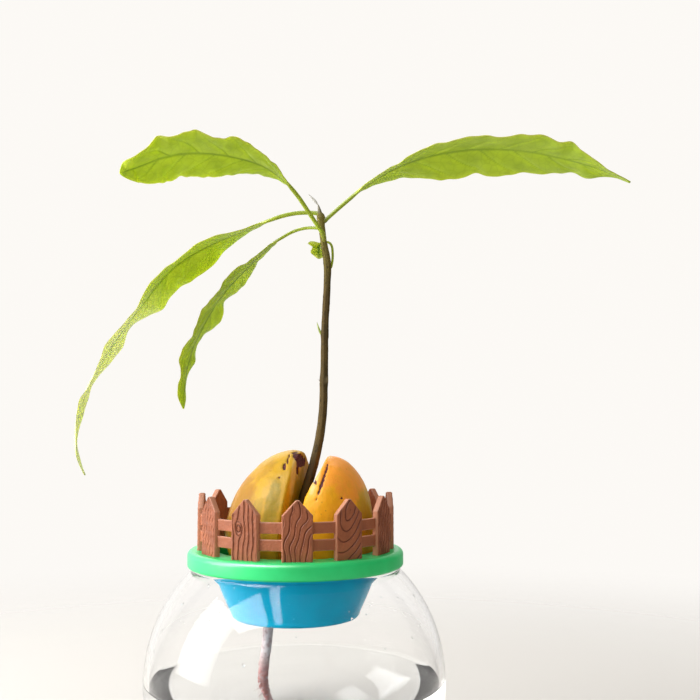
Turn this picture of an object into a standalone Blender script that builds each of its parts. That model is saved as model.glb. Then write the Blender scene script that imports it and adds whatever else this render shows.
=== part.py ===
# Avocado seedling growing from its split seed, in a picket fence holder over a round glass bowl of water
from dataclasses import dataclass
from math import asin, cos, degrees, hypot, log, pi, radians, sin, sqrt, tan

import bmesh
import bpy
from mathutils import Matrix, Vector

OBJECT_NAME = "avocado_seedling"
MM = 0.001
GAP = 0.3
MERGE = 0.00001
SHARP_OVER = 40.0

# Every size below is in millimetres and every angle in degrees, with the bowl's flat underside at height 0
VIEWPOINT = (5.4, -384.0, 151.7)
BOWL_RADIUS = 59.0
BOWL_WALL = 2.0
BOWL_CENTRE = 50.0
BOWL_FLOOR = 3.0
BOWL_MOUTH = 93.2
BOWL_FOOT_ROUND = 1.5
BOWL_STEPS = 44
ARC_POINTS = 11
ROUND_POINTS = 4
WATER_LEVEL = 49.5

DISC_RADIUS = 42.5
DISC_TOP = 100.0
DISC_THICK = 6.5
DISC_HOLE = 31.5
DISC_ROUND_TOP = 2.0
DISC_ROUND_FOOT = 1.0
DISC_STEPS = 48

CUP_FLANGE = 36.0
CUP_FLANGE_THICK = 1.6
CUP_TOP_RADIUS = 30.6
CUP_TOP_LEVEL = 88.0
CUP_FOOT_RADIUS = 25.4
CUP_FOOT = 73.5
CUP_FOOT_ROUND = 2.0
CUP_FOOT_FROM = 30.0
CUP_WALL = 1.8
CUP_STEPS = 40
CUP_NECK = 31.8
CUP_BOW = 1.15
CUP_WALL_STEPS = 4
ROOT_HOLE = 4.4
ROOT_HOLE_X = -10.3
ROOT_HOLE_DEPTH = 7.2

HOLDER_TURN = 1.5
PICKETS = 12
PICKET_WIDTH = 11.2
PICKET_THICK = 2.5
PICKET_HEIGHT = 21.5
PICKET_POINT = 5.4
PICKET_TIP = 1.2
PICKET_FACE = 38.4
PICKET_BEVEL = 0.35
RAIL_INNER = 35.9
RAIL_OUTER = 37.4
RAIL_HEIGHT = 4.1
RAIL_LEVELS = {"lower": 103.6, "upper": 109.8}

# The split runs from the seed's top down to the left, and each half opens away from it
SPLIT_X = 2.5
SPLIT_Z = 117.0
SPLIT_LEAN = 13.0
SEED_FOOT = 76.2
SEED_STEPS = 28
SEED_ROUGHNESS = 0.4

TUBE_FACES = 3
TUBE_STEPS = 3
CHANNEL_GAP = 0.4


@dataclass(frozen=True)
class SeedHalf:
    """One half of the seed: a rounded body, cut by the split and by its own opened face."""

    name: str
    colour: tuple
    centre: tuple
    reach: tuple
    rise: float
    fullness: float
    side: int
    opened_x: float
    opened_lean: float
    opened_turn: float


@dataclass(frozen=True)
class Leaf:
    """A petiole and blade grown from its root point.

    slopes are the midrib's headings above the level at even steps from the stem to the tip, and bearings
    are its turns to the back. above and below are the two margins' distances from the midrib as seen from
    the viewpoint, at even steps over the blade, and the rest of the half width lies nearer and further.
    """

    name: str
    root: tuple
    side: int
    length: float
    blade_from: float
    slopes: tuple
    bearings: tuple
    half_width: float
    widest: float
    above: tuple
    below: tuple
    petiole: float


SEED_HALVES = (
    SeedHalf(
        name="seed_half_left", colour=(0.62, 0.42, 0.10), centre=(-1.6, 2.0, 106.0), reach=(26.8, 24.0),
        rise=32.6, fullness=1.72, side=-1, opened_x=0.8, opened_lean=4.3, opened_turn=16.0,
    ),
    SeedHalf(
        name="seed_half_right", colour=(0.80, 0.38, 0.12), centre=(12.0, -1.0, 106.0), reach=(18.6, 25.0),
        rise=30.4, fullness=2.25, side=1, opened_x=3.4, opened_lean=26.5, opened_turn=5.0,
    ),
)

# Each row is the place of the tube's centre line and its radius there
STEM_LINE = (
    (-2.4, 0.0, 97.5, 2.0),
    (3.3, 0.0, 120.5, 1.95),
    (7.5, 0.0, 135.0, 1.85),
    (10.2, 0.0, 150.0, 1.7),
    (11.0, 0.0, 168.0, 1.55),
    (11.3, 0.0, 188.0, 1.45),
    (12.2, 0.0, 206.0, 1.4),
    (12.2, 0.0, 214.0, 1.55),
    (10.7, 0.0, 223.0, 1.3),
    (10.0, 0.0, 229.0, 1.35),
    (9.7, 0.0, 234.6, 1.35),
)
ROOT_LINE = (
    (-2.8, 0.0, 96.4, 2.0),
    (-7.2, 0.0, 86.0, 2.1),
    (-10.2, 0.0, 76.0, 2.1),
    (-11.2, 0.0, 64.0, 2.0),
    (-12.6, 0.0, 52.0, 2.0),
    (-12.4, 1.0, 40.0, 1.9),
    (-10.6, 2.0, 28.0, 1.5),
    (-7.8, 2.0, 17.0, 0.9),
    (-5.4, 1.0, 10.5, 0.4),
)
BUD_LINE = ((9.6, 0.0, 234.95, 1.0), (9.1, 0.0, 236.2, 0.75), (8.6, 0.0, 237.7, 0.3))
WISP_LINE = ((8.2, 0.0, 238.2, 0.3), (6.6, -0.2, 240.1, 0.6), (4.5, -0.4, 242.3, 0.25))
BRACT_LINE = ((9.3, -0.3, 185.6, 0.55), (8.8, -0.5, 187.4, 0.45), (8.1, -0.6, 189.8, 0.2))

LEAVES = (
    Leaf(
        name="leaf_front_left", root=(9.8, -2.7, 226.5), side=-1, length=93.5, blade_from=0.25,
        slopes=(53, 54, 37, 11, 2, -11, -27, -26), bearings=(-20, -20), half_width=14.0, widest=0.58,
        above=(3.6, 4.8, 6.2, 6.6, 7.0, 8.4, 6.7, 5.0, 3.2),
        below=(3.8, 6.0, 7.6, 8.8, 9.1, 9.6, 9.3, 7.2, 5.2), petiole=0.85,
    ),
    Leaf(
        name="leaf_long_left", root=(8.0, 0.6, 234.6), side=-1, length=166.0, blade_from=0.138,
        slopes=(9, -20, -19, -27, -50, -52, -56, -65, -86, -124), bearings=(12, 12), half_width=13.0,
        widest=0.42, above=(1.9, 2.2, 1.7, 1.8, 1.0, 1.4, 0.8, 0.2, 0.4),
        below=(3.4, 7.4, 9.6, 8.6, 4.6, 3.3, 2.6, 1.7, 1.0), petiole=0.85,
    ),
    Leaf(
        name="leaf_inner_left", root=(8.5, 1.4, 228.6), side=-1, length=111.0, blade_from=0.2,
        slopes=(13, -21, -36, -38, -53, -61, -79, -93), bearings=(35, 25), half_width=9.5, widest=0.5,
        above=(1.2, 2.0, 2.3, 2.0, 1.6, 1.5, 1.8, 1.4, 1.4),
        below=(1.9, 3.0, 4.4, 3.6, 5.6, 4.6, 2.6, 1.9, 1.7), petiole=0.65,
    ),
    Leaf(
        name="leaf_right", root=(12.1, -0.3, 232.2), side=1, length=131.0, blade_from=0.138,
        slopes=(42, 38, 22, 8, -2, -13, -18, -31), bearings=(-8, -8), half_width=15.0, widest=0.5,
        above=(1.5, 2.2, 3.1, 4.8, 3.7, 5.0, 7.1, 3.4, 0.7),
        below=(3.9, 7.3, 10.3, 10.9, 10.6, 8.6, 6.8, 4.8, 1.6), petiole=0.8,
    ),
    Leaf(
        name="young_leaf", root=(14.0, 1.8, 213.4), side=-1, length=20.2, blade_from=0.66,
        slopes=(104, 96, 88, 86, 56, 2, -34, -84, -92, -92), bearings=(0, 0, 0, 20, 35, 20, 0, 0, 0, 0),
        half_width=4.8, widest=0.5, above=(0.2, 0.8, 3.4, 2.8, 2.4, 2.5, 2.7, 2.3, 1.5),
        below=(0.2, 0.8, 1.6, 2.1, 2.3, 2.3, 2.2, 1.9, 1.2), petiole=0.5,
    ),
)
LEAF_THINNEST = 0.0102
RING_POINTS = 10
PETIOLE_RINGS = 5
BLADE_RINGS = 20
SPINE_STEPS = 80
BLADE_SPREADS_OVER = 0.08
TIP_RADIUS = 0.45
BLADE_FULLNESS = 0.7

COLOURS = {
    "glass": ((0.90, 0.96, 0.95), 0.03),
    "water": ((0.86, 0.95, 0.97), 0.02),
    "disc": ((0.05, 0.67, 0.16), 0.35),
    "cup": ((0.01, 0.22, 0.45), 0.30),
    "fence": ((0.36, 0.13, 0.07), 0.55),
    "stem": ((0.11, 0.07, 0.03), 0.75),
    "root": ((0.22, 0.10, 0.09), 0.80),
    "bud": ((0.25, 0.28, 0.05), 0.60),
    "wisp": ((0.66, 0.62, 0.58), 0.70),
    "leaf": ((0.38, 0.60, 0.05), 0.45),
}


def clear_scene():
    """Removes the objects that the scene starts with."""
    for thing in list(bpy.data.objects):
        bpy.data.objects.remove(thing, do_unlink=True)


def collection(name, hidden=False):
    """A collection in the scene, hidden from renders for the cutters."""
    made = bpy.data.collections.new(name)
    bpy.context.scene.collection.children.link(made)
    made.hide_render = hidden
    return made


def material(name, colour, roughness):
    """A plain Principled material, which is not a metal."""
    made = bpy.data.materials.new(name)
    made.use_nodes = True
    shader = made.node_tree.nodes["Principled BSDF"]
    shader.inputs["Base Color"].default_value = (*colour, 1.0)
    shader.inputs["Roughness"].default_value = roughness
    shader.inputs["Metallic"].default_value = 0.0
    return made


def add_object(name, data, group, finish=None):
    """An object in its collection, with its own copy of the finish."""
    made = bpy.data.objects.new(name, data)
    group.objects.link(made)
    if finish and not data.materials:
        colour, roughness = finish
        data.materials.append(material(name, colour, roughness))
    return made


def mesh_from(bm, name):
    """The bmesh as a mesh, shaded smooth where its faces meet at a small angle."""
    bmesh.ops.recalc_face_normals(bm, faces=bm.faces)
    data = bpy.data.meshes.new(name)
    bm.to_mesh(data)
    bm.free()
    data.shade_smooth()
    data.set_sharp_from_angle(angle=radians(SHARP_OVER))
    return data


def arc(centre, radius, start, end, count):
    """Points along an arc, each a distance out and a height, with angles in degrees from the level."""
    angles = [radians(start + (end - start) * i / (count - 1)) for i in range(count)]
    return [(centre[0] + radius * cos(a), centre[1] + radius * sin(a)) for a in angles]


def turned(name, profile, steps, group, finish):
    """A solid turned round the axis from a profile that runs down its outer side."""
    data = bpy.data.meshes.new(name)
    points = [(max(out, 0.0) * MM, 0.0, height * MM) for out, height in profile]
    data.from_pydata(points, [(i, i + 1) for i in range(len(points) - 1)], [])
    made = add_object(name, data, group, finish)
    screw = made.modifiers.new("Screw", "SCREW")
    screw.steps = screw.render_steps = steps
    screw.use_merge_vertices = True
    screw.merge_threshold = MERGE
    screw.use_smooth_shade = True
    return made


def bowl(group):
    """A blown glass bowl: a sphere with a flat foot and a rounded lip."""
    inner = BOWL_RADIUS - BOWL_WALL
    lip = BOWL_WALL / 2
    mouth = BOWL_MOUTH - lip - BOWL_CENTRE
    inside = arc(
        (0, BOWL_CENTRE), inner, -90 + degrees_of(sqrt(inner**2 - (BOWL_CENTRE - BOWL_FLOOR) ** 2) / inner),
        degrees_of(mouth / inner), ARC_POINTS,
    )
    outside = arc(
        (0, BOWL_CENTRE), BOWL_RADIUS, degrees_of(mouth / BOWL_RADIUS),
        degrees_of((BOWL_FOOT_ROUND - BOWL_CENTRE) / BOWL_RADIUS), ARC_POINTS,
    )
    rim = [((inside[-1][0] + outside[0][0]) / 2, BOWL_MOUTH)]
    foot = [(outside[-1][0] - BOWL_FOOT_ROUND, 0.0), (0.0, 0.0)]
    return turned(
        "bowl", [(0.0, BOWL_FLOOR), *inside, *rim, *outside, *foot], BOWL_STEPS, group, COLOURS["glass"]
    )


def degrees_of(sine):
    """The angle with this sine, in degrees."""
    return degrees(asin(sine))


def water(group):
    """The water that fills the bowl to its widest part, a little clear of the glass."""
    radius = BOWL_RADIUS - BOWL_WALL - GAP
    floor = BOWL_FLOOR + GAP
    side = arc(
        (0, BOWL_CENTRE), radius, degrees_of((WATER_LEVEL - BOWL_CENTRE) / radius),
        degrees_of((floor - BOWL_CENTRE) / radius), ARC_POINTS,
    )
    return turned("water", [(0.0, WATER_LEVEL), *side, (0.0, floor)], BOWL_STEPS, group, COLOURS["water"])


def holder_disc(group):
    """The round green base of the fence, open in the middle for the cup and the seed."""
    foot = DISC_TOP - DISC_THICK
    above, below = DISC_ROUND_TOP, DISC_ROUND_FOOT
    top = arc((DISC_RADIUS - above, DISC_TOP - above), above, 90, 0, ROUND_POINTS)
    under = arc((DISC_RADIUS - below, foot + below), below, 0, -90, ROUND_POINTS)
    profile = [(DISC_HOLE, foot), (DISC_HOLE, DISC_TOP), *top, *under, (DISC_HOLE, foot)]
    return turned("holder_disc", profile, DISC_STEPS, group, COLOURS["disc"])


def cup_side(drop):
    """How far out the cup's outer wall stands at a share of its drop from the neck, a little bowed."""
    return CUP_TOP_RADIUS + (CUP_FOOT_RADIUS - CUP_TOP_RADIUS) * drop**CUP_BOW


def holder_cup(group):
    """The blue cup under the disc, hung from its flange, with a hole in its floor for the root."""
    top = DISC_TOP - DISC_THICK - GAP
    under = top - CUP_FLANGE_THICK
    foot_end = CUP_FOOT + CUP_FOOT_ROUND
    drops = [i / CUP_WALL_STEPS for i in range(CUP_WALL_STEPS + 1)]
    wall = [(cup_side(drop), CUP_TOP_LEVEL + (foot_end - CUP_TOP_LEVEL) * drop) for drop in drops]
    corner = arc(
        (CUP_FOOT_RADIUS - CUP_FOOT_ROUND, foot_end), CUP_FOOT_ROUND, -CUP_FOOT_FROM, -90, ROUND_POINTS
    )
    outer = [(CUP_FLANGE, top), (CUP_FLANGE, under), (CUP_NECK, under), *wall, *corner, (0.0, CUP_FOOT)]
    floor = CUP_FOOT + CUP_WALL
    lowest = floor + CUP_FOOT_ROUND / 2
    inner_wall = [(out - CUP_WALL, max(height, lowest)) for out, height in reversed(wall)]
    inner = [(0.0, floor), (CUP_FOOT_RADIUS - 2 * CUP_WALL, floor), *inner_wall, (CUP_NECK - CUP_WALL, top)]
    return turned("holder_cup", [*inner, *outer], CUP_STEPS, group, COLOURS["cup"])


def picket_curve():
    """A flat picket with a pointed head, its foot on the x axis and its thickness along z."""
    half, tip = PICKET_WIDTH / 2, PICKET_TIP / 2
    shoulder = PICKET_HEIGHT - PICKET_POINT
    right_side = [(half, 0), (half, shoulder), (tip, PICKET_HEIGHT)]
    outline = [*right_side, *((-x, y) for x, y in reversed(right_side))]
    data = bpy.data.curves.new("picket", "CURVE")
    data.dimensions = "2D"
    data.fill_mode = "BOTH"
    data.extrude = PICKET_THICK / 2 * MM
    spline = data.splines.new("POLY")
    spline.points.add(len(outline) - 1)
    for corner, (x, y) in zip(spline.points, outline):
        corner.co = (x * MM, y * MM, 0.0, 1.0)
    spline.use_cyclic_u = True
    return data


def soften(made, width):
    """Welds a piece's loose caps and takes the sharpness off its edges."""
    weld = made.modifiers.new("Weld", "WELD")
    weld.merge_threshold = MERGE
    bevel = made.modifiers.new("Bevel", "BEVEL")
    bevel.width = width * MM
    bevel.segments = 1
    bevel.limit_method = "ANGLE"


def pickets(group):
    """Twelve pickets round the disc, each facing out."""
    data = picket_curve()
    data.materials.append(material("fence", *COLOURS["fence"]))
    out = PICKET_FACE - PICKET_THICK / 2
    for i in range(PICKETS):
        turn = radians(HOLDER_TURN) + 2 * pi * i / PICKETS
        made = add_object(f"picket_{i + 1:02d}", data, group)
        stand = Matrix.Rotation(turn, 4, "Z") @ Matrix.Translation((0, -out * MM, (DISC_TOP + GAP) * MM))
        made.matrix_world = stand @ Matrix.Rotation(pi / 2, 4, "X")
        soften(made, PICKET_BEVEL)


def rail_mesh():
    """A short rail that fills the space between two pickets, its ends square to their sides."""
    bm = bmesh.new()
    bmesh.ops.create_cube(bm, size=2.0)
    bay = pi / PICKETS
    for corner in bm.verts:
        out = RAIL_OUTER if corner.co.y < 0 else RAIL_INNER
        half = (out * sin(bay) - PICKET_WIDTH / 2 - GAP) / cos(bay)
        corner.co = Vector((corner.co.x * half, -out, corner.co.z * RAIL_HEIGHT / 2)) * MM
    return mesh_from(bm, "rail")


def rails(group):
    """Two rails in each space between the pickets."""
    data = rail_mesh()
    data.materials.append(material("rail", *COLOURS["fence"]))
    for level, height in RAIL_LEVELS.items():
        for i in range(PICKETS):
            made = add_object(f"rail_{level}_{i + 1:02d}", data, group)
            made.location.z = (height + RAIL_HEIGHT / 2) * MM
            made.rotation_euler.z = radians(HOLDER_TURN) + 2 * pi * (i + 0.5) / PICKETS


def tube(name, line, group, finish, grow=0.0):
    """A tapering round limb along a line of places and radii, with flat ends."""
    data = bpy.data.curves.new(name, "CURVE")
    data.dimensions = "3D"
    data.bevel_depth = MM
    data.bevel_resolution = TUBE_FACES
    data.use_fill_caps = True
    data.resolution_u = TUBE_STEPS
    spline = data.splines.new("BEZIER")
    spline.bezier_points.add(len(line) - 1)
    for knot, (x, y, z, radius) in zip(spline.bezier_points, line):
        knot.co = Vector((x, y, z)) * MM
        knot.radius = radius + grow
        knot.handle_left_type = knot.handle_right_type = "AUTO"
    return add_object(name, data, group, finish)


def solid_of(made, group):
    """The curve object as a closed mesh object, its caps welded."""
    seen = made.evaluated_get(bpy.context.evaluated_depsgraph_get())
    data = bpy.data.meshes.new_from_object(seen)
    bm = bmesh.new()
    bm.from_mesh(data)
    bmesh.ops.remove_doubles(bm, verts=bm.verts, dist=MERGE)
    bm.to_mesh(data)
    bm.free()
    solid = bpy.data.objects.new(made.name, data)
    group.objects.link(solid)
    solid.matrix_world = made.matrix_world
    bpy.data.objects.remove(made, do_unlink=True)
    return solid


def cutter(made):
    """Marks an object as a cutter."""
    made.hide_render = True
    made.display_type = "WIRE"
    return made


def cut(made, tool):
    """Takes the cutter's shape out of a piece."""
    boolean = made.modifiers.new("Cut", "BOOLEAN")
    boolean.operation = "DIFFERENCE"
    boolean.object = tool


def rounded_power(value, power):
    """A value raised to a power, keeping its sign."""
    return abs(value) ** power * (1 if value >= 0 else -1)


def seed_half(half, group):
    """A seed half: a rounded body cut flat along the split, then along the face it opened by."""
    bm = bmesh.new()
    bmesh.ops.create_uvsphere(bm, u_segments=SEED_STEPS, v_segments=SEED_STEPS // 2, radius=1.0)
    power = 2 / half.fullness
    for vertex in bm.verts:
        x, y, z = vertex.co
        ring = hypot(x, y)
        spread = rounded_power(ring, power) / max(ring, MERGE)
        up = half.rise if z > 0 else half.centre[2] - SEED_FOOT
        vertex.co = Vector((
            half.centre[0] + half.reach[0] * x * spread,
            half.centre[1] + half.reach[1] * y * spread,
            half.centre[2] + up * rounded_power(z, power),
        )) * MM
    split_normal = Vector((1.0, 0.0, -tan(radians(SPLIT_LEAN))))
    slice_off(bm, (SPLIT_X + half.side * GAP, 0, SPLIT_Z), -half.side * split_normal)
    opened = Vector((1.0, -tan(radians(half.opened_turn)), -tan(radians(half.opened_lean))))
    slice_off(bm, (half.opened_x, 0, SPLIT_Z), -half.side * opened)
    return add_object(half.name, mesh_from(bm, half.name), group, (half.colour, SEED_ROUGHNESS))


def slice_off(bm, point, away):
    """Cuts away what lies on the side of a plane that a direction points to, and closes the cut."""
    parts = bm.verts[:] + bm.edges[:] + bm.faces[:]
    place = Vector(point) * MM
    found = bmesh.ops.bisect_plane(
        bm, geom=parts, dist=MERGE * MM, plane_co=place, plane_no=away.normalized(), clear_outer=True
    )
    edges = [part for part in found["geom_cut"] if isinstance(part, bmesh.types.BMEdge)]
    bmesh.ops.holes_fill(bm, edges=edges)


def between(values, share):
    """The value at a share of the way along an evenly spaced list."""
    at = min(max(share, 0.0), 1.0) * (len(values) - 1)
    low = min(int(at), len(values) - 2)
    return values[low] + (values[low + 1] - values[low]) * (at - low)


def margin(values, over, reach):
    """How far a margin stands off the midrib, held within the blade's reach and round at the tip."""
    last = len(values) / (len(values) + 1)
    past = max((over - last) / (1 - last), 0.0)
    seen = between((0.0, *values), over / last) * sqrt(max(1 - past * past, 0.0))
    return max(-reach, min(seen, reach))


def leaf_spine(leaf):
    """The midrib's points from the stem to the tip."""
    points = [Vector(leaf.root)]
    step = leaf.length / SPINE_STEPS
    for i in range(SPINE_STEPS):
        share = (i + 0.5) / SPINE_STEPS
        slope, bearing = radians(between(leaf.slopes, share)), radians(between(leaf.bearings, share))
        run = cos(slope) * step
        along = Vector((leaf.side * run * cos(bearing), run * sin(bearing), sin(slope) * step))
        points.append(points[-1] + along)
    return points


def blade_half_width(leaf, share):
    """Half the blade's real width at a share of its length, rounded at its base and at its tip."""
    bent = share ** (log(0.5) / log(leaf.widest))
    return leaf.half_width * max(sin(pi * bent), 0.0) ** BLADE_FULLNESS


def leaf_ring(leaf, spine, share):
    """The ring of points round the leaf at a share of the way from the stem to the tip."""
    at = share * SPINE_STEPS
    low = min(int(at), SPINE_STEPS - 1)
    centre = spine[low].lerp(spine[low + 1], at - low)
    along = (spine[min(low + 2, SPINE_STEPS)] - spine[max(low - 1, 0)]).normalized()
    sight = (centre - Vector(VIEWPOINT)).normalized()
    up = along.cross(sight).normalized() * leaf.side
    back = (sight - along * sight.dot(along)).normalized()
    over = max((share - leaf.blade_from) / (1 - leaf.blade_from), 0.0)
    reach = blade_half_width(leaf, over)
    above = margin(leaf.above, over, reach)
    below = margin(leaf.below, over, reach)
    near = up * above - back * sqrt(max(reach * reach - above * above, 0.0))
    far = back * sqrt(max(reach * reach - below * below, 0.0)) - up * below
    across = (far - near + back * MERGE).normalized()
    face = across.cross(along) * leaf.side
    spread = min(over / BLADE_SPREADS_OVER, 1.0)
    half_thick = max(leaf.length * LEAF_THINNEST / 2, TIP_RADIUS)
    radius = leaf.petiole + (half_thick - leaf.petiole) * spread
    plates = (far, far / 2, far * 0, near / 2, near)
    ring = []
    for i in range(RING_POINTS):
        turn = pi * (2 * i + 1) / RING_POINTS
        plate = plates[i] if i < len(plates) else plates[RING_POINTS - 1 - i]
        lift = sin(turn) * (1 - spread) + (1 if sin(turn) > 0 else -1) * spread
        wide = radius * cos(turn) * (1 - spread / 2)
        ring.append((centre + plate + across * wide + face * radius * lift) * MM)
    return ring


def leaf_solid(leaf, group):
    """A leaf lofted from its round petiole into its thin blade."""
    spine = leaf_spine(leaf)
    petiole = [leaf.blade_from * i / PETIOLE_RINGS for i in range(PETIOLE_RINGS)]
    blade = [leaf.blade_from + (1 - leaf.blade_from) * i / BLADE_RINGS for i in range(BLADE_RINGS + 1)]
    bm = bmesh.new()
    rings = [[bm.verts.new(co) for co in leaf_ring(leaf, spine, share)] for share in petiole + blade]
    for low, high in zip(rings, rings[1:]):
        for i in range(RING_POINTS):
            j = (i + 1) % RING_POINTS
            bm.faces.new((low[i], low[j], high[j], high[i]))
    bm.faces.new(rings[0])
    bm.faces.new(rings[-1])
    return add_object(leaf.name, mesh_from(bm, leaf.name), group, COLOURS["leaf"])


def root_hole(group):
    """The cutter for the hole in the cup's floor, where the root passes."""
    bm = bmesh.new()
    radius, depth = ROOT_HOLE * MM, ROOT_HOLE_DEPTH * MM
    bmesh.ops.create_cone(
        bm, cap_ends=True, segments=CUP_STEPS // 2, radius1=radius, radius2=radius, depth=depth
    )
    made = add_object("root_hole_cutter", mesh_from(bm, "root_hole_cutter"), group)
    made.location = (ROOT_HOLE_X * MM, 0.0, CUP_FOOT * MM)
    return cutter(made)


def main():
    """Builds every piece of the seedling, its holder and its bowl."""
    clear_scene()
    parts = collection(OBJECT_NAME)
    cutters = collection("cutters", hidden=True)
    channel_line = (*reversed(ROOT_LINE), *STEM_LINE[1:])
    channel_curve = tube("channel_cutter", channel_line, cutters, None, grow=CHANNEL_GAP)
    channel = cutter(solid_of(channel_curve, cutters))
    bowl(parts)
    cut(water(parts), channel)
    holder_disc(parts)
    cut(holder_cup(parts), root_hole(cutters))
    pickets(parts)
    rails(parts)
    for half in SEED_HALVES:
        cut(seed_half(half, parts), channel)
    tube("stem", STEM_LINE, parts, COLOURS["stem"])
    tube("root", ROOT_LINE, parts, COLOURS["root"])
    tube("terminal_bud", BUD_LINE, parts, COLOURS["bud"])
    tube("withered_tip", WISP_LINE, parts, COLOURS["wisp"])
    tube("bract", BRACT_LINE, parts, COLOURS["bud"])
    for leaf in LEAVES:
        leaf_solid(leaf, parts)


main()
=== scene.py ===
"""Dresses an avocado seedling growing from its split seed, in a picket fence holder over a bowl of water.

Sizes are in millimetres and angles in degrees until a form becomes a piece, which is in metres. The bowl's
flat underside is at height 0, +Z is up and the picture is taken looking along +Y.
"""

import logging
import random
from collections.abc import Callable, Sequence
from dataclasses import dataclass, field
from enum import Enum
from math import cos, log, pi, radians, sin, sqrt, tan

import bmesh
import bpy
import numpy as np
from mathutils import Matrix, Vector, noise


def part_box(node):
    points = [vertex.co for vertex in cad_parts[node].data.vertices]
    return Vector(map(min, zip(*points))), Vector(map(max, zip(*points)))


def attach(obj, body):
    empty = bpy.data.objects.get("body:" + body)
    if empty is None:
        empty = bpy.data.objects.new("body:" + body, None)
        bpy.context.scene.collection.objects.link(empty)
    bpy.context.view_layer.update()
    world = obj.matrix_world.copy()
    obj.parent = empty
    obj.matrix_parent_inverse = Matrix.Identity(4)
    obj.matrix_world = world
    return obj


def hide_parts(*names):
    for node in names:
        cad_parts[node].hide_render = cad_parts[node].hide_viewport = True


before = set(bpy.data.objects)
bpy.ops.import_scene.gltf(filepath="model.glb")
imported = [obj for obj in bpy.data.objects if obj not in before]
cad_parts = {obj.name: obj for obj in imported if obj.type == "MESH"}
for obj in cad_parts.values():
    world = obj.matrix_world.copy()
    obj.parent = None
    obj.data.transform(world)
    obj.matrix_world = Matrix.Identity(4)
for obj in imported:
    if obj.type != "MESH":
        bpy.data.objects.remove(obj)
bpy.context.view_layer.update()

MM = 0.001
SHARP_OVER = 40.0
SAME_WITHIN = 0.0005
BODY = "root"

Colour = tuple[float, float, float]
Pair = tuple[float, float]
Knot = tuple[float, ...]
Place = tuple[float, float, float]
Rule = Callable[[np.ndarray, np.ndarray], np.ndarray]


def between(values: Sequence[float], share: float) -> float:
    """The value at a share of the way along an evenly spaced list.

    Args:
        values: The list, from its start to its end.
        share: How far along, from 0 to 1.

    Returns:
        The value there, in a straight line between its neighbours.
    """
    at = min(max(share, 0.0), 1.0) * (len(values) - 1)
    low = min(int(at), len(values) - 2)
    return values[low] + (values[low + 1] - values[low]) * (at - low)


def smooth(low: float, high: float, value: np.ndarray) -> np.ndarray:
    """A soft step that rises from 0 at low to 1 at high.

    Args:
        low: Where the step starts.
        high: Where it ends, which may be below low for a falling step.
        value: The numbers to step.

    Returns:
        The steps, from 0 to 1.
    """
    share = np.clip((value - low) / (high - low), 0.0, 1.0)
    return share * share * (3 - 2 * share)


def lumps(points: np.ndarray, size: float, seed: float = 0.0) -> np.ndarray:
    """Soft random lumps in space.

    Args:
        points: The places, one a row.
        size: How far apart the lumps lie.
        seed: A shift, so that two patterns differ.

    Returns:
        A number from about -1 to 1 for each place.
    """
    shift = Vector((seed, -seed, 2 * seed))
    return np.array([noise.noise(Vector(point) / size + shift) for point in points])


def eased(knots: Sequence[Pair], at: float) -> float:
    """The value of a smooth curve through knots.

    Args:
        knots: The knots' places, rising, and their values.
        at: Where to read the curve.

    Returns:
        The value there.
    """
    places, values = np.array(knots).T
    slopes = np.gradient(values, places)
    i = min(max(int(np.searchsorted(places, at)) - 1, 0), len(places) - 2)
    gap = places[i + 1] - places[i]
    on = min(max((at - places[i]) / gap, 0.0), 1.0)
    off = 1 - on
    start = values[i] * (1 + 2 * on) + slopes[i] * gap * on
    end = values[i + 1] * (1 + 2 * off) - slopes[i + 1] * gap * off
    return float(start * off * off + end * on * on)


def skin(x: np.ndarray, z: np.ndarray, y: float, seed: float, *layers: Pair) -> np.ndarray:
    """A rough skin over a flat face.

    Args:
        x: The places across the face.
        z: The places up it.
        y: How deep in space the lumps are cut through.
        seed: A shift, so that two skins differ.
        layers: The size and the height of each layer of lumps.

    Returns:
        How far the skin stands out at each place.
    """
    flat = np.stack([x, np.full_like(x, y), z], -1).reshape(-1, 3)
    return sum(lumps(flat, size, seed).reshape(x.shape) * height for size, height in layers)


def shown(name: str, data: bpy.types.ID) -> bpy.types.Object:
    """Puts a new object with this data into the scene."""
    made = bpy.data.objects.new(name, data)
    bpy.context.scene.collection.objects.link(made)
    return made


def applied(made: bpy.types.Object) -> bpy.types.Mesh:
    """The mesh that an object's modifiers give."""
    seen = made.evaluated_get(bpy.context.evaluated_depsgraph_get())
    return bpy.data.meshes.new_from_object(seen)


def carry(data: bpy.types.Mesh, marks: dict[str, np.ndarray]) -> None:
    """Gives a mesh's points their named numbers."""
    for name, values in marks.items():
        data.attributes.new(name, "FLOAT", "POINT").data.foreach_set("value", values.astype(np.float32))


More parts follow.
